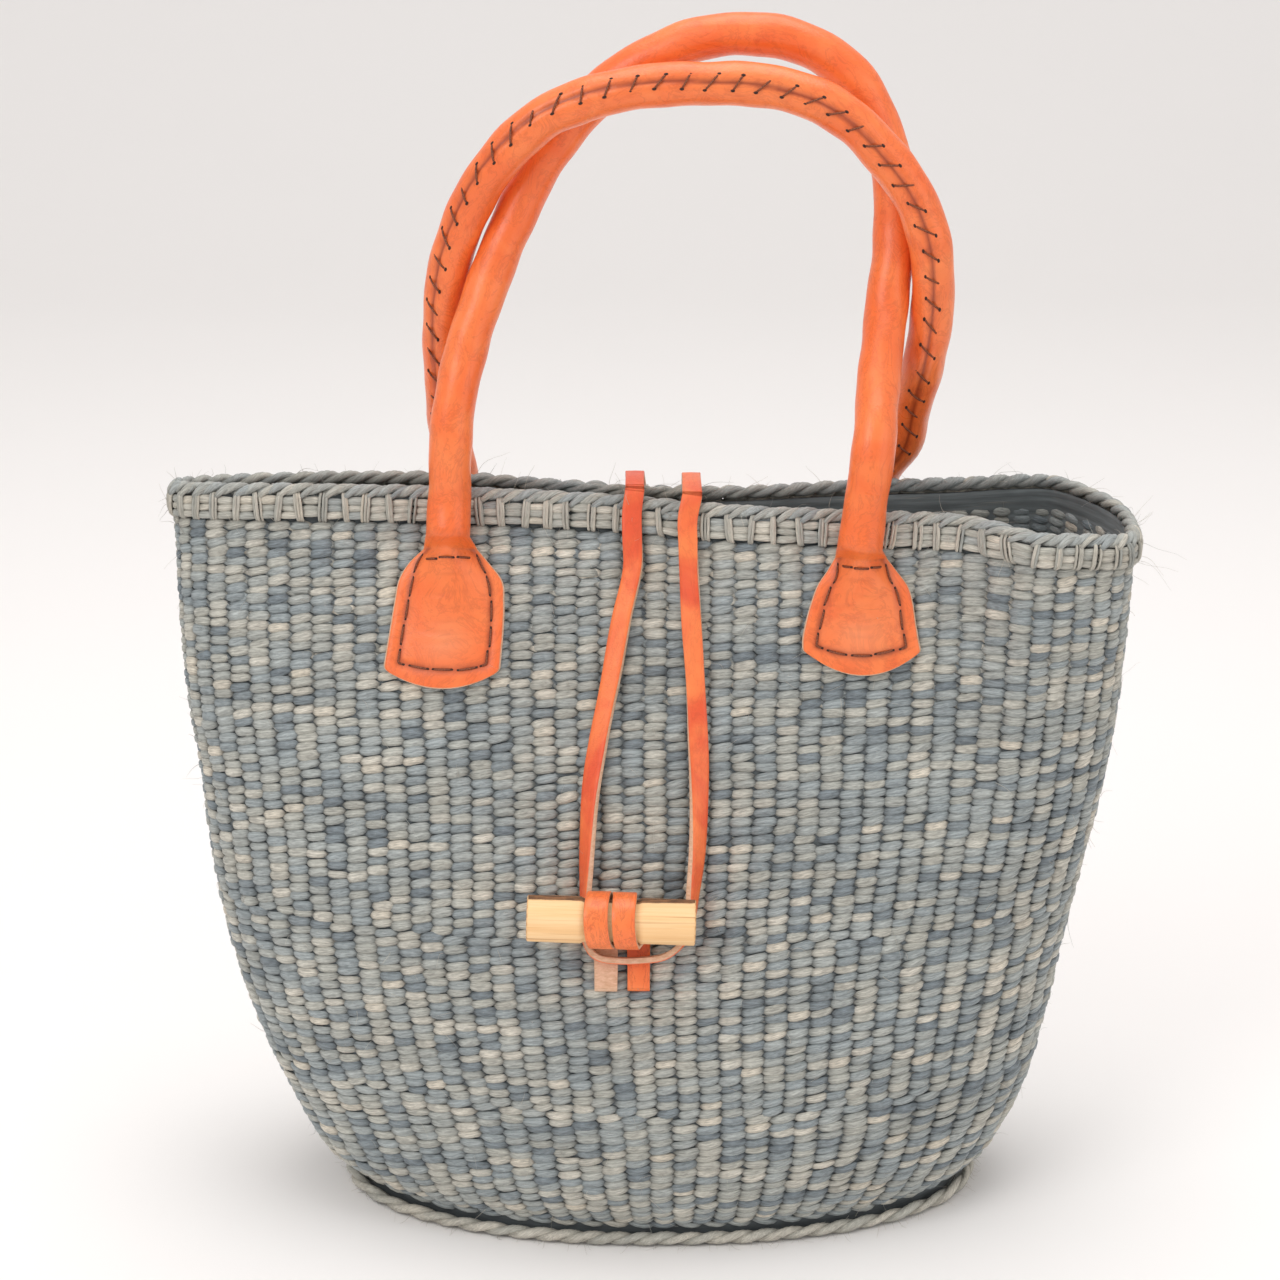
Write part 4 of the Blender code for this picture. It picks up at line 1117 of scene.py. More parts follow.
def fibre_lines(roots, ways, lengths, curl, droop, numbers, rings=7):
    """Curved hairs: root + way * t + curl * t^2 - droop * t^2 along up, for t from 0 to the hair's length."""
    t = np.linspace(0, 1, rings)[None, :, None]
    bend = unit(numbers.normal(0, 1, roots.shape))
    twirl = unit(numbers.normal(0, 1, roots.shape))
    size = lengths[:, None, None]
    line = roots[:, None, :] + ways[:, None, :] * t * size
    line = line + bend[:, None, :] * (curl[:, None, None] * size * t**2)
    line = line + twirl[:, None, :] * (0.22 * curl[:, None, None] * size * np.sin(np.pi * 1.6 * t) * t)
    return line - UP * (droop[:, None, None] * size * t**2)


def add_hairs(pile, roots, ways, lengths, curl, droop, thick, tint, numbers, rings=7):
    """Hairs as three-sided tubes that thin out to their tips."""
    line = fibre_lines(roots, unit(ways), lengths, curl, droop, numbers, rings)
    line[..., 2] = np.maximum(line[..., 2], 0.0004)
    ahead = unit(np.gradient(line, axis=1))
    guide = np.broadcast_to(unit(np.array([0.3, 0.5, 0.8])), line.shape)
    first, second = upright(ahead, guide)
    taper = np.linspace(1.0, 0.35, rings)[None, :] * thick[:, None]
    add_tubes(pile, line, first * taper[..., None], second * taper[..., None], 3, tint=tint, height=np.full(len(roots), 1.0))


# Leather


def section_places(half):
    """Places from -1 to 1 across a tab, closer together at its edges."""
    even = np.linspace(-1, 1, half)
    return np.sign(even) * (1 - (1 - np.abs(even)) ** 1.35) * 0.996


def tab_numbers(tab, hand, up):
    """Middle x, z, half width, swell, reach and bow of a tab at a height from 0 to 1."""
    rows_up = column(tab.rows, "up")
    half_width = smooth(up, rows_up, column(tab.rows, "half_width")) * TAB_HALF_WIDTH
    drift = smooth(up, rows_up, column(tab.rows, "drift")) * TAB_HALF_WIDTH
    swell = smooth(up, rows_up, column(tab.rows, "swell")) * NECK_SWELL
    x = tab.across * MOUTH_HALF_WIDTH - hand * tab.side * drift
    z = tab.rise * WALL_HEIGHT - (1 - up) * tab.length * TAB_LENGTH
    return x, z, half_width, swell, 0.8 + 0.2 * up, tab.bow * (1 - up) ** 2


def tab_front(tab, hand, place, up, lift=0.0):
    """Point of a tab's front face. The middle swells as cos^2, the stitch line and the creases sink in."""
    place, up = np.broadcast_arrays(np.asarray(place, float), np.asarray(up, float))
    x, z, half_width, swell, reach, bow = tab_numbers(tab, hand, up)
    corner = 1 - 0.10 * np.clip(1 - up / 0.055, 0, 1) ** 2
    half_width = half_width * corner
    dome = np.cos(np.pi / 2 * np.clip(np.abs(place) / reach, 0, 1)) ** 2
    round_edge = np.clip((np.abs(place) - 0.93) / 0.07, 0, 1)
    thick = TAB_THICKNESS * (0.5 + 0.5 * np.sqrt(1 - round_edge**2))
    side_way = (1 - np.abs(place)) * half_width
    foot_way = up * tab.length * TAB_LENGTH
    inset = np.minimum(side_way, foot_way)
    seam = np.exp(-(((inset - stitch_inset(up)) / 0.0011) ** 2)) * np.clip(up / 0.06, 0, 1)
    wrinkle = sum(
        depth * np.exp(-(((up - level - lean * place) / 0.016) ** 2)) * np.clip(1.1 - np.abs(place - aside) * 2.2, 0, 1)
        for level, lean, aside, depth in CREASES
    )
    off = GAP + thick + swell * dome - 0.00050 * seam - wrinkle + lift
    xs = x + hand * half_width * place
    zs = z - bow * (1 - place**2)
    return off_wall(xs, zs, tab.side, off), seam, wrinkle / 0.00045


CREASES = (
    (0.30, 0.03, 0.10, 0.00040),
    (0.37, -0.02, -0.05, 0.00045),
    (0.45, 0.04, 0.05, 0.00030),
    (0.56, -0.03, 0.20, 0.00026),
    (0.66, 0.05, -0.10, 0.00022),
    (0.80, 0.02, 0.05, 0.00035),
)


def stitch_inset(up):
    """How far the stitch line runs inside a tab's edge: 5.2 mm, and 2 mm at the neck."""
    fade = np.clip((up - 0.74) / 0.26, 0, 1)
    return 0.0052 - 0.0032 * fade**2 * (3 - 2 * fade)


def tube_ring(centre, ahead, front, sides, radius):
    """A round cross-section whose points go round like those of a tab's ring."""
    front = unit(front - ahead * (front @ ahead))
    level = np.cross(ahead, front)
    half = sides // 2
    angles = np.pi - (np.arange(sides) + 0.5) * np.pi / half
    return centre + radius[:, None] * (np.cos(angles)[:, None] * level + np.sin(angles)[:, None] * front), angles


def handle_path(tabs, back):
    """The tube's middle line: off the wall above one neck, past the band, over the arch and down again."""
    beside_band = TUBE_RADIUS + BAND_THICKNESS + 3 * GAP
    ends = []
    for tab in tabs:
        x, z = tab.across * MOUTH_HALF_WIDTH, tab.rise * WALL_HEIGHT
        low = off_wall(x, z + 0.55 * TUBE_RADIUS, tab.side, beside_band)
        edge = wall_at(x, WALL_HEIGHT, tab.side)
        high = edge + np.array([0, tab.side * beside_band, 0.4 * TUBE_RADIUS])
        ends.append([low, high])
    points = []
    for row in ARCHES:
        point = np.array([row.across * MOUTH_HALF_WIDTH, row.depth * BELLY_HALF_DEPTH, row.rise * WALL_HEIGHT])
        if back:
            point += 2 * TUBE_RADIUS * np.array([row.beside, row.behind, row.above])
        points.append(point)
    return np.array(ends[0] + points + ends[1][::-1])


def handle(name, tabs, back, finish):
    """One handle: a tab, the rolled tube and the other tab. The tube's radius has soft lumps, and along its seam it
    sinks in between the whip stitches."""
    side = 1.0 if back else -1.0
    half = 24
    sides = 2 * half
    places = section_places(half)
    line = along_path(handle_path(tabs, back), 170)
    length = np.concatenate(([0], np.cumsum(np.linalg.norm(np.diff(line, axis=0), axis=1))))
    ahead = unit(np.gradient(line, axis=0))
    rings, edges, creases, rubs = [], [], [], []

    def tab_part(tab, hand):
        ups = np.concatenate([[0, 0.008, 0.02, 0.035], np.linspace(0.055, 1.0, 44)])[:, None]
        front, seam, wrinkle = tab_front(tab, hand, places[None, :], ups)
        x, z, half_width, _, _, bow = tab_numbers(tab, hand, ups)
        half_width = half_width * (1 - 0.10 * np.clip(1 - ups / 0.055, 0, 1) ** 2)
        turned = places[::-1][None, :]
        round_edge = np.clip((np.abs(turned) - 0.93) / 0.07, 0, 1)
        lower = GAP + TAB_THICKNESS * (0.5 - 0.5 * np.sqrt(1 - round_edge**2)) + 0 * ups
        under = off_wall(x + hand * half_width * turned, z - bow * (1 - turned**2), tab.side, lower)
        ring = np.concatenate([front, under], 1)
        foot = np.clip(1 - ups / 0.012, 0, 1)
        edge = np.concatenate([np.clip((np.abs(places[None, :]) - 0.955) / 0.03, 0, 1) + foot, np.ones((len(ups), half))], 1)
        # Painted shade along the sunken stitch line and in the creases of the tab.
        crease = np.concatenate([np.clip(0.8 * seam + 0.30 * wrinkle, 0, 1), np.zeros((len(ups), half))], 1)
        rub = np.concatenate([np.exp(-(((ups - 0.30) / 0.16) ** 2)) * np.exp(-((places[None, :] / 0.45) ** 2)) * 0.55, np.zeros((len(ups), half))], 1)
        return ring, np.clip(edge, 0, 1), crease, rub

    seam_turn = seam_angle(length / length[-1], back)
    tube, tube_crease_shade = [], []
    for k in range(len(line)):
        angle_even = np.pi - (np.arange(sides) + 0.5) * np.pi / half
        way = np.angle(np.exp(1j * (angle_even - seam_turn[k])))
        across = way * TUBE_RADIUS
        pucker = np.cos(2 * np.pi * length[k] / WHIP_PITCH)
        sink = 0.0009 * np.exp(-((across / 0.0009) ** 2)) + 0.00035 * np.exp(-((across / 0.0032) ** 2)) * (0.5 + 0.5 * pucker)
        lump = 0.00016 * np.sin(length[k] * 210 + 2 * angle_even) + 0.00012 * np.sin(length[k] * 370 - angle_even + 1.0)
        end = np.exp(-length[k] / 0.012) + np.exp(-(length[-1] - length[k]) / 0.012)
        radius = TUBE_RADIUS - sink * (1 - np.clip(end, 0, 1)) + lump + 0.0003 * end
        points, _ = tube_ring(line[k], ahead[k], np.array([0.0, side, 0.0]), sides, radius)
        tube.append(points)
        # Painted shade in the sunken seam, stronger in the puckers between the whip stitches.
        tube_crease_shade.append(np.clip(np.exp(-((across / 0.0007) ** 2)) * 1.1 + 0.3 * np.exp(-((across / 0.003) ** 2)) * (0.5 + 0.5 * pucker), 0, 1))
    tube, tube_crease_shade = np.array(tube), np.array(tube_crease_shade)
    first, last = tab_part(tabs[0], -side), tab_part(tabs[1], side)
    blends = np.array([0.25, 0.5, 0.75])[:, None, None]
    first_blend = first[0][-1:] * (1 - blends) + tube[:1] * blends
    last_blend = (last[0][-1:] * (1 - blends) + tube[-1:] * blends)[::-1]
    parts = [first[0], first_blend, tube, last_blend, last[0][::-1]]
    rings = np.concatenate(parts)
    zero = np.zeros((3, sides))
    edge_blend = np.linspace(1, 0, 5)[1:-1, None] * first[1][-1:]
    edge = np.concatenate([first[1], edge_blend, np.zeros((len(tube), sides)), edge_blend[::-1], last[1][::-1]])
    crease = np.concatenate([first[2], zero, tube_crease_shade, zero, last[2][::-1]])
    rub = np.concatenate([first[3], zero, np.zeros((len(tube), sides)), zero, last[3][::-1]])
    quads, where = grid_faces(1, len(rings), sides)
    middle = rings.mean(1)
    run = np.concatenate(([0], np.cumsum(np.linalg.norm(np.diff(middle, axis=0), axis=1))))
    spots = np.stack([run[np.minimum(where[..., 0].astype(int), len(run) - 1)], where[..., 1] / sides], -1)
    caps = cap_faces(1, len(rings), sides)
    pile = Pile()
    pile.add(rings, [quads, caps], [spots, np.zeros(caps.shape + (2,))], edge=edge, crease=crease, rub=rub)
    thing = pile.piece(name + "_leather", finish, "leather", name)
    return thing, line, ahead, length, seam_turn, side


WHIP_PITCH = 0.0092


def seam_angle(share, back):
    """Where the seam runs round the tube, from 0 at one side by pi / 2 at its outer face: it faces the other handle,
    and turns a little on the way."""
    return -np.pi / 2 + 0.35 * np.sin(2 * np.pi * share) + (0.25 if back else -0.15)


def whip_stitches(threads, holes, line, ahead, length, seam_turn, side, seed):
    """Slanted threads over the seam, one every WHIP_PITCH, and the awl holes at their ends."""
    numbers = random_numbers(seed)
    count = int((length[-1] - 0.030) / WHIP_PITCH)
    starts = 0.016 + (np.arange(count) + 0.5) * WHIP_PITCH
    t = np.linspace(-1, 1, 9)[None, :]
    half_angle = 0.36
    lean = 0.0022 + numbers.normal(0, 0.0004, (count, 1))
    where = starts[:, None] + lean * t
    angle = np.interp(where, length, seam_turn) + t * half_angle * (1 + numbers.normal(0, 0.12, (count, 1)))
    centre = np.stack([np.interp(where, length, line[:, k]) for k in range(3)], -1)
    way = unit(np.stack([np.interp(where, length, ahead[:, k]) for k in range(3)], -1))
    face = np.broadcast_to(np.array([0.0, side, 0.0]), way.shape)
    front = unit(face - way * (face * way).sum(-1, keepdims=True))
    level = np.cross(way, front)
    radial = np.cos(angle)[..., None] * level + np.sin(angle)[..., None] * front
    lift = TUBE_RADIUS + 0.00022 - 0.0011 * t**6 - 0.0002 * (1 - t**2)
    path = centre + radial * lift[..., None]
    forward = unit(np.gradient(path, axis=1))
    first, second = upright(forward, radial)
    add_tubes(threads, path, first * 0.00036, second * 0.00040, 6)
    for end in (0, -1):
        spot = centre[:, end] + radial[:, end] * (TUBE_RADIUS - 0.00008)
        add_holes(holes, spot, radial[:, end], way[:, end], 0.0008, 0.0006)


def add_holes(holes, spots, outs, ways, long, wide):
    """Awl holes as painted shade: short dark flat lenses that lie in the surface."""
    t = np.array([-1.0, -0.75, 0.0, 0.75, 1.0])[None, :]
    lines = spots[:, None, :] + ways[:, None, :] * (t * long)[..., None]
    width = np.sqrt(np.clip(1.04 - t**2, 0.02, 1)) * np.ones((len(spots), 1))
    first, second = upright(np.broadcast_to(ways[:, None, :], lines.shape), np.broadcast_to(outs[:, None, :], lines.shape))
    add_tubes(holes, lines, first * (width * 0.00022)[..., None], second * (width * wide)[..., None], 6)


def tab_stitches(threads, holes, tab, hand, seed):
    """A running stitch along the tab's seam line, across its neck, and the holes between the stitches."""
    numbers = random_numbers(seed)

    def place_of(up, sign):
        half_width = tab_numbers(tab, hand, up)[2]
        return sign * (1 - stitch_inset(up) / half_width)

    down = np.linspace(0.97, 0.0052 / (tab.length * TAB_LENGTH), 40)
    foot = down[-1]
    left = np.stack([place_of(down, -1.0), down], 1)
    right = np.stack([place_of(down[::-1], 1.0), down[::-1]], 1)
    bottom = np.stack([np.linspace(left[-1, 0], right[0, 0], 30), np.full(30, foot)], 1)
    border = np.concatenate([left, bottom[1:-1], right])
    neck = np.stack([np.linspace(-0.62, 0.62, 20), np.full(20, 0.925)], 1)
    for way, stitch in ((border, 0.0092), (neck, 0.0070)):
        points, _, _ = tab_front(tab, hand, way[:, 0], way[:, 1])
        length = np.concatenate(([0], np.cumsum(np.linalg.norm(np.diff(points, axis=0), axis=1))))
        count = max(int(round(length[-1] / stitch)), 2)
        start = np.arange(count) * length[-1] / count
        t = np.linspace(0, 1, 9)[None, :]
        gap = 0.10
        where = start[:, None] + (gap + (1 - 2 * gap) * t) * length[-1] / count
        place = np.interp(where, length, way[:, 0]) + numbers.normal(0, 0.008, (count, 1))
        up = np.interp(where, length, way[:, 1]) + numbers.normal(0, 0.004, (count, 1))
        lift = -0.00035 + 0.00085 * np.sin(np.pi * t) ** 0.5
        path, _, _ = tab_front(tab, hand, place, up, lift)
        forward = unit(np.gradient(path, axis=1))
        out = wall_normal(path[..., 0], path[..., 2], tab.side)
        first, second = upright(forward, out)
        add_tubes(threads, path, first * 0.00042, second * 0.00048, 6)
        for end in (0, -1):
            spot, _, _ = tab_front(tab, hand, place[:, end], up[:, end], 0.00004)
            add_holes(holes, spot, out[:, end], forward[:, end if end == 0 else -1], 0.00085, 0.0005)


# The closure


def toggle_frame():
    """The toggle's centre and its three directions: along it, off the wall, and up the wall."""
    x, z = TOGGLE_ACROSS * MOUTH_HALF_WIDTH, TOGGLE_RISE * WALL_HEIGHT
    out = wall_normal(x, z, -1)
    slope = np.radians(TOGGLE_SLOPE)
    along = np.array([np.cos(slope), 0, np.sin(slope)])
    out = unit(out - along * (out @ along))
    return off_wall(x, z, -1, TOGGLE_OFF * TOGGLE_RADIUS), along, out, np.cross(out, along)


def toggle_stick(finish):
    """A round stick with a shallow groove, lumps of sin(2 angle + 3 place) and cut ends that are a little domed."""
    centre, along, out, up = toggle_frame()
    end, groove = TOGGLE_LENGTH / 2, 1.28 * THONG_WIDTH
    body = np.linspace(-1, 1, 61)
    place = body * (end - 0.0006)
    radius = TOGGLE_RADIUS - GROOVE_DEPTH * np.clip((groove - np.abs(place)) / 0.001, 0, 1)
    caps_in = np.array([(0.985, -0.0003), (0.95, 0.0), (0.75, 0.00012), (0.45, 0.00018), (0.12, 0.0002)])
    offsets = np.concatenate([-end - caps_in[::-1, 1] + 0.0002, place, end + caps_in[:, 1] - 0.0002])
    radii = np.concatenate([caps_in[::-1, 0] * TOGGLE_RADIUS, radius, caps_in[:, 0] * TOGGLE_RADIUS])
    is_end = np.concatenate([np.array([1, 1, 1, 1, 0.8]), np.zeros(61), np.array([0.8, 1, 1, 1, 1])])
    sides = 40
    angle = np.arange(sides) / sides * 2 * np.pi
    lump = 0.00012 * np.sin(2 * angle[None, :] + 3 + offsets[:, None] * 90) + 0.00008 * np.sin(5 * angle[None, :] + offsets[:, None] * 160)
    reach = radii[:, None] + lump * (radii[:, None] / TOGGLE_RADIUS)
    rings = centre + along * offsets[:, None, None] + reach[..., None] * (
        np.cos(angle)[None, :, None] * up + np.sin(angle)[None, :, None] * out
    )
    away = np.abs(np.angle(np.exp(1j * (angle - 0.25))))
    bark = np.clip(1.25 - away / 0.42, 0, 1)[None, :] * (1 - is_end[:, None])
    quads, where = grid_faces(1, len(offsets), sides)
    spots = np.stack([offsets[np.minimum(where[..., 0].astype(int), len(offsets) - 1)] * 1.0, where[..., 1] / sides], -1)
    caps = cap_faces(1, len(offsets), sides)
    pile = Pile()
    end_value = np.repeat(is_end, sides)
    pile.add(rings, [quads, caps], [spots, np.zeros(caps.shape + (2,))], bark=bark * np.ones_like(reach), end=end_value)
    return pile.piece("toggle_stick", finish, "wood", "toggle")


def tuck(slit, thickness):
    """Where a strap goes down the wall, in through its slit and down a little inside."""
    x, z = slit.across * MOUTH_HALF_WIDTH, slit.rise * WALL_HEIGHT
    out = wall_normal(x, z, slit.side)
    down = unit(np.cross(out, np.cross(out, UP)))
    foot = off_wall(x, z, slit.side, -WALL / 2)
    bend = 2 * GAP + thickness / 2
    stations = []
    for low, turns in ((-1, (0, 0, 0, 30, 60, 90)), (1, (90, 60, 30, 0, 0, 0))):
        straight = [0, 0, 0, 0, 0, 0]
        straight[:2] = (4.2 * thickness, 1.6 * thickness)
        if low > 0:
            straight = straight[::-1]
        for turn, more in zip(np.radians(turns), straight):
            off = -low * (WALL / 2 + bend * np.cos(turn))
            drop = low * (bend * (1 - np.sin(turn)) + more)
            stations.append((foot + out * off + down * drop, np.cos(turn) * out + np.sin(turn) * down))
    return stations


def strap(pile, stations, width, thickness, seed, flesh_in=True):
    """A flat strap along stations of a point and the way its face looks, with rounded edges. Its section is a
    rectangle of sixteen points, its face a little crowned, and its edges and back are bare."""
    numbers = random_numbers(seed)
    points = np.array([point for point, _ in stations])
    looks = np.array([look for _, look in stations])
    length = np.concatenate(([0], np.cumsum(np.linalg.norm(np.diff(points, axis=0), axis=1))))
    fine = np.linspace(0, length[-1], 1600)
    line = np.stack([smooth(fine, length, points[:, k]) for k in range(3)], -1)
    look = np.stack([smooth(fine, length, looks[:, k]) for k in range(3)], -1)
    ahead = unit(np.gradient(line, axis=0))
    look = unit(look - ahead * (look * ahead).sum(1)[:, None])
    wide = np.cross(ahead, look)
    bent = np.arccos(np.clip((ahead[1:] * ahead[:-1]).sum(1), -1, 1))
    twisted = np.arccos(np.clip((look[1:] * look[:-1]).sum(1), -1, 1))
    cost = np.diff(fine) / 0.0028 + bent / np.radians(7) + twisted / np.radians(12)
    spent = np.concatenate(([0], np.cumsum(cost)))
    chosen = np.interp(np.linspace(0, spent[-1], int(spent[-1]) + 2), spent, np.arange(len(spent))).round().astype(int)
    a = np.array([-0.94, -0.6, 0.0, 0.6, 0.94, 1.0, 1.0, 0.97, 0.6, 0.0, -0.6, -0.97, -1.0, -1.0])
    b = np.array([0.96, 1.0, 1.04, 1.0, 0.96, 0.72, -0.80, -0.97, -1.0, -1.0, -1.0, -0.97, -0.80, 0.72])
    bare = np.array([0.0, 0, 0, 0, 0.0, 0.55, 1, 1, 1, 1, 1, 1, 1, 0.55])
    sway = 1 + 0.03 * np.sin(fine[chosen] * 140 + numbers.random() * 6)
    half_wide = wide[chosen] * (width / 2 * sway)[:, None]
    half_thick = look[chosen] * thickness / 2
    rings = line[chosen][:, None, :] + a[:, None] * half_wide[:, None, :] + b[:, None] * half_thick[:, None, :]
    sides = len(a)
    quads, where = grid_faces(1, len(chosen), sides)
    run = fine[chosen]
    spots = np.stack([run[np.minimum(where[..., 0].astype(int), len(run) - 1)], where[..., 1] / sides], -1)
    caps = cap_faces(1, len(chosen), sides)
    zero = np.zeros((len(chosen), sides))
    pile.add(rings, [quads, caps], [spots, np.zeros(caps.shape + (2,))], edge=zero + bare, crease=zero, rub=zero)


def thong_stations():
    """From inside by the left slit, up behind the toggle, twice round it and in by the right slit."""
    centre, along, out, up = toggle_frame()
    radius = TOGGLE_RADIUS + GAP + THONG_THICKNESS / 2
    into, back = tuck(THONG_SLITS[0], THONG_THICKNESS), tuck(THONG_SLITS[1], THONG_THICKNESS)
    stations = [(point, -look) for point, look in into[::-1]]
    foot_z = TOGGLE_RISE * WALL_HEIGHT
    left = THONG_SLITS[0].across * MOUTH_HALF_WIDTH
    for drop, off in ((1.55, 0.15), (1.18, 0.17), (0.85, 0.32), (0.50, 0.58)):
        z = foot_z - drop * TOGGLE_RADIUS
        stations.append((off_wall(left, z, -1, off * TOGGLE_RADIUS), -wall_normal(left, z, -1)))
    angles = np.arange(0, 671, 22.5)
    places = smooth(angles, column(TURNS, "angle"), column(TURNS, "along"))
    layers = smooth(angles, column(TURNS, "angle"), column(TURNS, "layer"))
    for angle, place, layer in zip(np.radians(angles), places, layers):
        look = np.sin(angle) * up - np.cos(angle) * out
        stations.append((centre + along * place * THONG_WIDTH + look * (radius + layer * THONG_THICKNESS), look))
    right = THONG_SLITS[1].across * MOUTH_HALF_WIDTH
    for drop, off, turn in ((0.68, 0.80, 0.80), (0.74, 0.42, 0.60), (1.05, 0.18, 0.10), (1.45, 0.15, 0.0)):
        z = foot_z - drop * TOGGLE_RADIUS
        normal = wall_normal(right, z, -1)
        stations.append((off_wall(right, z, -1, off * TOGGLE_RADIUS), unit(normal * (1 - turn) - up * turn)))
    return stations + back


def over_rim(across, to_front):
    """Stations that take the loop over both edges of the mouth."""
    x = across * MOUTH_HALF_WIDTH
    stations = []
    past = BAND_THICKNESS + GAP + LOOP_THICKNESS / 2 + 0.0012
    for side in (1, -1):
        edge = wall_at(x, WALL_HEIGHT, side)
        rope = edge + np.array([0, -side * WALL / 2, ROPE_RADIUS + GAP])
        clear = ROPE_RADIUS + GAP + LOOP_THICKNESS / 2 + 0.0006
        outer = np.array([0, side * 1.0, 0])
        corner = unit(np.array([0, side * 1.0, 1.2]))
        low = off_wall(x, edge[2] - 1.4 * BAND_HEIGHT, side, past)
        high = off_wall(x, edge[2] - 0.25 * BAND_HEIGHT, side, past)
        ring = [(low, outer), (high, outer), (rope + corner * clear * 1.12, corner), (rope + UP * clear, UP)]
        stations += ring if side == 1 else ring[::-1]
    return stations if to_front else stations[::-1]


def loop_stations():
    """From the left slit in the back wall over the rim, down to the toggle, round its foot and back again."""
    first, last = tuck(LOOP_SLITS[0], LOOP_THICKNESS), tuck(LOOP_SLITS[1], LOOP_THICKNESS)
    stations = first[::-1] + over_rim(LOOP_WAY[0].across, True)
    points = np.array(
        [off_wall(w.across * MOUTH_HALF_WIDTH, w.rise * WALL_HEIGHT, -1, w.off * LOOP_WIDTH) for w in LOOP_WAY]
    )
    ahead = unit(np.gradient(points, axis=0))
    for way, point, forward in zip(LOOP_WAY, points, ahead):
        normal = wall_normal(way.across * MOUTH_HALF_WIDTH, way.rise * WALL_HEIGHT, -1)
        outward = np.cross(forward, normal)
        twist = np.radians(way.twist)
        stations.append((point, np.cos(twist) * normal + np.sin(twist) * outward))
    return stations + over_rim(LOOP_WAY[-1].across, False) + last


# Operators


class TwineWall(bpy.types.Operator):
    """Twine the wall's rows, the inside of the mouth and the base"""

    bl_idname = "bag.twine_wall"
    bl_label = "Twine Wall"

    def execute(self, context):
        sizes, colours = settings().weave, settings().sisal
        finish = sisal_finish("twined_sisal", colours)
        rises, counts, _ = row_plan(sizes)
        total = len(rises)
        cuts = (0, total // 3, 2 * total // 3, total)
        for k, name in enumerate(("weave_low", "weave_middle", "weave_high")):
            pile = Pile()
            add_rows(pile, sizes, range(cuts[k], cuts[k + 1]), 11 + k)
            pile.piece(name, finish, "sisal", "basket_body")
        inner = Pile()
        add_rows(inner, sizes, range(total - 18, total), 31, inward=True, rings=5)
        inner.piece("weave_inside", finish, "sisal", "basket_body")
        shell = Pile()
        backing(shell)
        underside(shell, 41)
        shell.piece("weave_backing", finish, "sisal", "basket_body")
        return {"FINISHED"}


class BindRim(bpy.types.Operator):
    """Bind the rim: the strip, the rope and the strands over it"""

    bl_idname = "bag.bind_rim"
    bl_label = "Bind Rim"

    def execute(self, context):
        sizes, colours = settings().weave, settings().sisal
        finish = sisal_finish("rim_sisal", colours, lightness=0.97, warm=0.10)
        strip = Pile()
        band(strip, sizes, 51)
        strip.piece("rim_binding", finish, "sisal", "rim_band")
        rope = Pile()
        twists = int(round(band_cells(sizes) / 2))
        twisted_rope(rope, 1.0, -0.0015, 0.0020, twists, 0.00125, 0.00150, 16, 61, tint=0.40)
        arches_over_rim(rope, sizes, 71)
        rope.piece("rim_plies", finish, "sisal", "rim_rope")
        return {"FINISHED"}


class PlaitRidge(bpy.types.Operator):
    """Plait the ridge round the base"""

    bl_idname = "bag.plait_ridge"
    bl_label = "Plait Ridge"

    def execute(self, context):
        colours = settings().sisal
        finish = sisal_finish("ridge_sisal", colours, lightness=1.0, warm=0.22)
        pile = Pile()
        twists = int(round(OUTLINE.girth[2] / 0.021))
        lift = 0.0031 - 0.5 * RIDGE_RADIUS
        twisted_rope(pile, 0.5 * RIDGE_RADIUS / WALL_HEIGHT, 0.0026, lift, twists, 0.00105, 0.00155, 18, 81, tint=0.66)
        pile.piece("ridge_plait", finish, "sisal", "base_ridge")
        return {"FINISHED"}


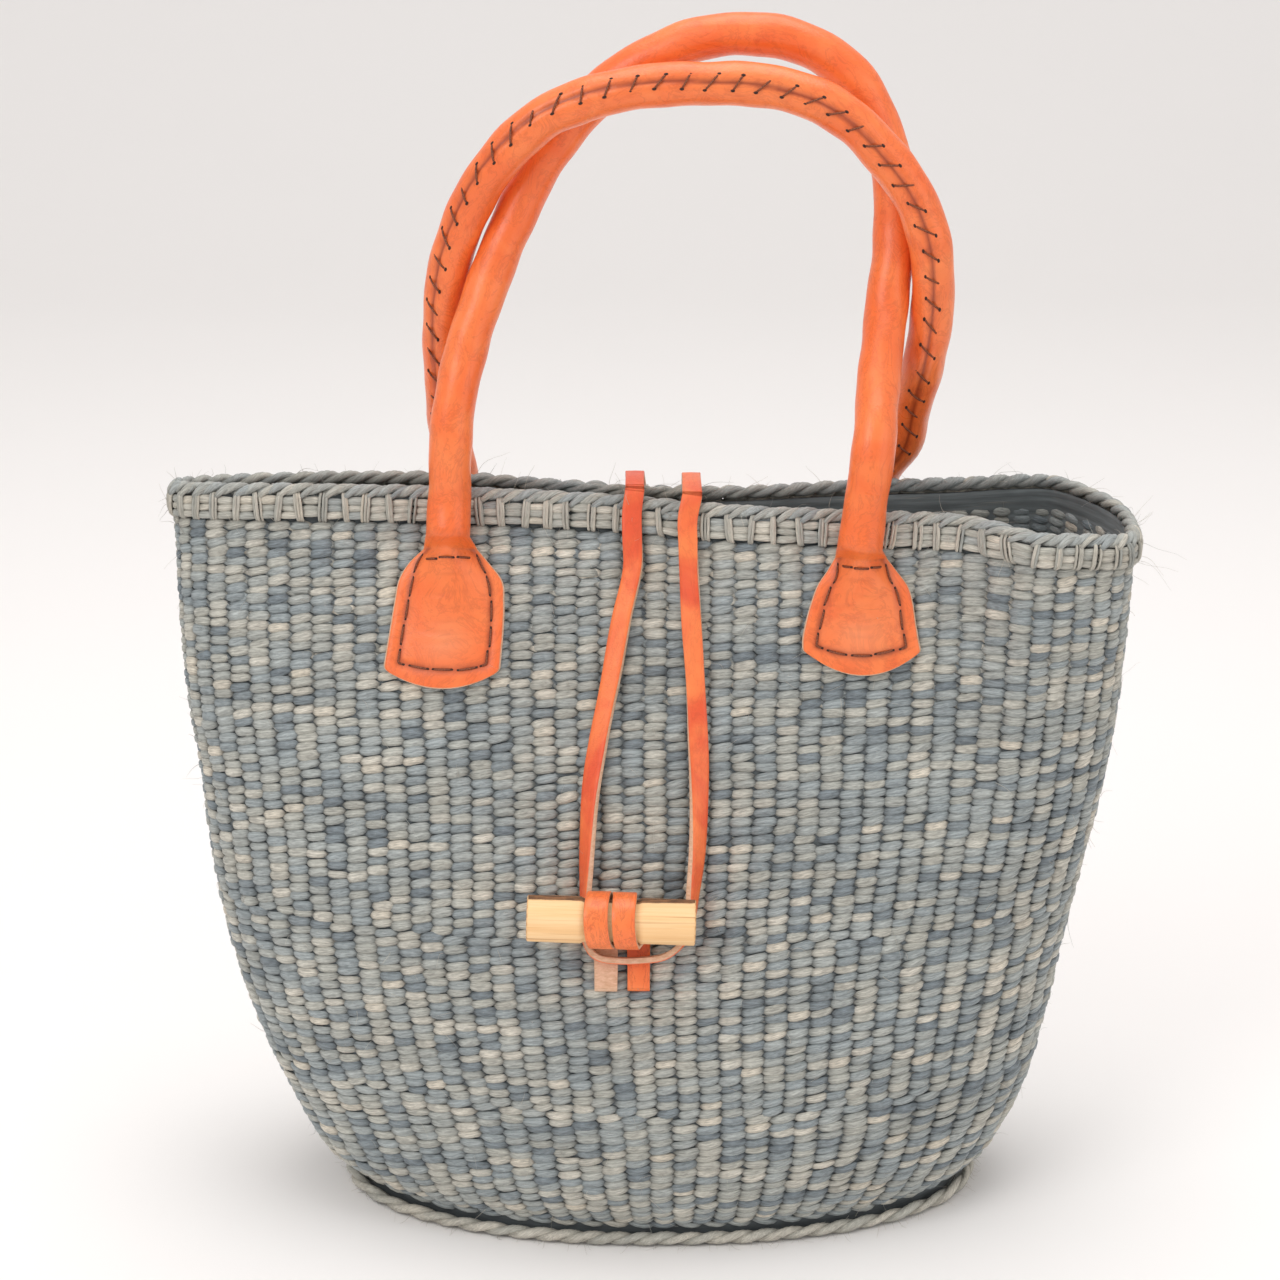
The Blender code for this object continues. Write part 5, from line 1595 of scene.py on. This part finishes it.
class ScatterFibres(bpy.types.Operator):
    """Scatter stray fibres over the wall, the rim and the base"""

    bl_idname = "bag.scatter_fibres"
    bl_label = "Scatter Fibres"

    def execute(self, context):
        colours = settings().sisal
        total = settings().weave.hairs
        finish = sisal_finish("stray_sisal", colours, lightness=1.05, warm=0.25)
        numbers = random_numbers(91)
        pile = Pile()
        n = int(total * 0.50)
        turn, rise = numbers.random(n), numbers.random(n) ** 0.9 * 0.96 + 0.02
        point, out, around, up = OUTLINE.at(turn, rise)
        ways = out * numbers.uniform(0.10, 0.55, (n, 1)) + around * numbers.normal(0, 0.8, (n, 1)) + up * numbers.normal(0, 0.5, (n, 1))
        add_hairs(pile, point + out * 0.0002, ways, numbers.uniform(0.003, 0.010, n), numbers.uniform(0.1, 0.8, n), numbers.uniform(0, 0.3, n), numbers.uniform(0.00006, 0.00012, n), numbers.uniform(0.3, 1.0, n), numbers)
        n = int(total * 0.28)
        turn = numbers.random(n)
        point, level, around, up = edge_frame(turn)
        lift = numbers.uniform(-0.008, 0.005, (n, 1))
        off = np.where(lift > 0, numbers.uniform(-0.004, 0.001, (n, 1)), 0.0022)
        ways = level * numbers.normal(0.5, 0.5, (n, 1)) + around * numbers.normal(0, 0.8, (n, 1)) + up * numbers.normal(0.25, 0.5, (n, 1))
        add_hairs(pile, point + level * off + up * lift, ways, numbers.uniform(0.003, 0.012, n), numbers.uniform(0.2, 1.0, n), numbers.uniform(0, 0.4, n), numbers.uniform(0.00006, 0.00012, n), numbers.uniform(0.4, 1.0, n), numbers)
        n = total - int(total * 0.50) - int(total * 0.28)
        turn = numbers.random(n)
        point, level, around, up = edge_frame(turn, 0.012)
        ways = level * numbers.uniform(0.4, 1.0, (n, 1)) + around * numbers.normal(0, 0.7, (n, 1)) + up * numbers.normal(-0.25, 0.35, (n, 1))
        add_hairs(pile, point + level * 0.004, ways, numbers.uniform(0.002, 0.008, n), numbers.uniform(0.1, 0.6, n), numbers.uniform(0, 0.4, n), numbers.uniform(0.00006, 0.00012, n), numbers.uniform(0.6, 1.0, n), numbers)
        pile.piece("stray_fibres", finish, "sisal")
        return {"FINISHED"}


class SewHandles(bpy.types.Operator):
    """Roll and sew both handles"""

    bl_idname = "bag.sew_handles"
    bl_label = "Sew Handles"

    def execute(self, context):
        colours = settings().leather
        leather = leather_finish("handle_leather", colours, rgb(colours.orange))
        thread = thread_finish("waxed_thread", rgb(colours.thread), rgb(colours.thread_dark))
        # The awl holes are small dark lenses of painted shade.
        hole_shade = plain_finish("awl_holes", rgb(colours.hole_shade), 0.8)
        for name, tabs, back, seed in (("front_handle", FRONT_TABS, False, 101), ("back_handle", BACK_TABS, True, 111)):
            thing, line, ahead, length, seam_turn, side = handle(name, tabs, back, leather)
            threads, holes = Pile(), Pile()
            whip_stitches(threads, holes, line, ahead, length, seam_turn, side, seed)
            tab_stitches(threads, holes, tabs[0], -side, seed + 1)
            tab_stitches(threads, holes, tabs[1], side, seed + 2)
            threads.piece(name + "_thread", thread, "leather")
            holes.piece(name + "_holes", hole_shade, "leather")
        return {"FINISHED"}


class TurnToggle(bpy.types.Operator):
    """Turn the wooden toggle and wind its thong"""

    bl_idname = "bag.turn_toggle"
    bl_label = "Turn Toggle"

    def execute(self, context):
        toggle_stick(wood_finish("toggle_wood", settings().wood))
        colours = settings().leather
        finish = leather_finish("thong_leather", colours, rgb(colours.orange), worn=0.8)
        pile = Pile()
        strap(pile, thong_stations(), THONG_WIDTH, THONG_THICKNESS, 121)
        pile.piece("thong", finish, "leather", "toggle_thong")
        return {"FINISHED"}


class HangLoop(bpy.types.Operator):
    """Lay the leather loop from the back wall over the rim to the toggle"""

    bl_idname = "bag.hang_loop"
    bl_label = "Hang Loop"

    def execute(self, context):
        colours = settings().leather
        finish = leather_finish("loop_leather", colours, rgb(colours.strap), worn=0.35, gloss=0.42)
        pile = Pile()
        strap(pile, loop_stations(), LOOP_WIDTH, LOOP_THICKNESS, 131)
        pile.piece("loop", finish, "strap_leather", "closure_loop")
        return {"FINISHED"}


class SetStage(bpy.types.Operator):
    """Lay the paper sweep, hang the lights and place the camera"""

    bl_idname = "bag.set_stage"
    bl_label = "Set Stage"

    def execute(self, context):
        studio = settings().studio
        scene = bpy.context.scene
        scene.view_settings.view_transform = "Standard"
        turn = np.linspace(0, np.pi / 2, 24)
        bend, back = 1.2, 1.6
        ys = np.concatenate([[-6.0, -2.0, 0.0], back + bend * np.sin(turn), [back + bend]])
        zs = np.concatenate([[0.0, 0.0, 0.0], bend * (1 - np.cos(turn)), [6.0]])
        xs = np.linspace(-6, 6, 3)
        points = np.stack(np.broadcast_arrays(xs[None, :], ys[:, None], zs[:, None]), -1)
        quads, places = grid_faces(1, len(ys), len(xs), closed_sides=False)
        mesh = bpy.data.meshes.new("sweep")
        mesh.from_pydata(points.reshape(-1, 3).tolist(), [], quads[:, ::-1].tolist())
        mesh.polygons.foreach_set("use_smooth", np.ones(len(quads), bool))
        mesh.materials.append(plain_finish("paper", rgb(studio.sweep), 0.9))
        sweep = bpy.data.objects.new("sweep", mesh)
        scene.collection.objects.link(sweep)
        world = bpy.data.worlds.new("room")
        world.use_nodes = True
        world.node_tree.nodes["Background"].inputs["Color"].default_value = (1.0, 0.99, 0.985, 1.0)
        world.node_tree.nodes["Background"].inputs["Strength"].default_value = studio.world
        scene.world = world
        lights = (
            ("key", studio.key, 1.3, (-1.1, -1.3, 1.5)),
            ("top", studio.top, 1.5, (0.1, 0.15, 1.7)),
            ("fill", studio.fill, 1.5, (1.6, -1.2, 0.8)),
        )
        for name, power, size, where in lights:
            lamp = bpy.data.lights.new(name, "AREA")
            lamp.energy, lamp.size, lamp.shape = power, size, "DISK"
            holder = bpy.data.objects.new(name, lamp)
            holder.location = where
            holder.rotation_euler = aim(where, (0.0, 0.0, 0.2))
            scene.collection.objects.link(holder)
        camera = bpy.data.cameras.new("camera")
        camera.sensor_fit = "HORIZONTAL"
        camera.angle = np.radians(22.13)
        camera.clip_start = 0.05
        holder = bpy.data.objects.new("camera", camera)
        holder.location = (-0.0035, -1.1854, 0.6196)
        holder.rotation_euler = aim(holder.location, (-0.0035, 0.0, 0.223))
        scene.collection.objects.link(holder)
        scene.camera = holder
        return {"FINISHED"}


def aim(here, there):
    """Angles that turn a camera or lamp from one point to look at another."""
    from mathutils import Vector

    return (Vector(there) - Vector(here)).to_track_quat("-Z", "Y").to_euler()


STEPS = (TwineWall, BindRim, PlaitRidge, ScatterFibres, SewHandles, TurnToggle, HangLoop, SetStage)


class BagPanel(bpy.types.Panel):
    """The bag's settings and steps"""

    bl_idname = "VIEW3D_PT_sisal_bag"
    bl_label = "Sisal Bag"
    bl_space_type = "VIEW_3D"
    bl_region_type = "UI"
    bl_category = "Sisal Bag"

    def draw(self, context):
        layout = self.layout
        for group_name in ("sisal", "leather", "wood", "weave", "studio"):
            group = getattr(context.scene.sisal_bag, group_name)
            box = layout.box()
            for name in group.__annotations__:
                box.prop(group, name)
        for step in STEPS:
            layout.operator(step.bl_idname)


CLASSES = (SisalColours, LeatherColours, WoodColours, WeaveSizes, StudioSettings, BagSettings) + STEPS + (BagPanel,)


def register():
    """Register the classes and the bag's settings."""
    for made in CLASSES:
        bpy.utils.register_class(made)
    bpy.types.Scene.sisal_bag = bpy.props.PointerProperty(type=BagSettings)


def unregister():
    """Take the settings and the classes away again."""
    del bpy.types.Scene.sisal_bag
    for made in reversed(CLASSES):
        bpy.utils.unregister_class(made)


def main():
    """Build every piece in order."""
    register()
    bpy.ops.bag.twine_wall()
    bpy.ops.bag.bind_rim()
    bpy.ops.bag.plait_ridge()
    bpy.ops.bag.scatter_fibres()
    bpy.ops.bag.sew_handles()
    bpy.ops.bag.turn_toggle()
    bpy.ops.bag.hang_loop()
    bpy.ops.bag.set_stage()


if __name__ == "__main__":
    main()
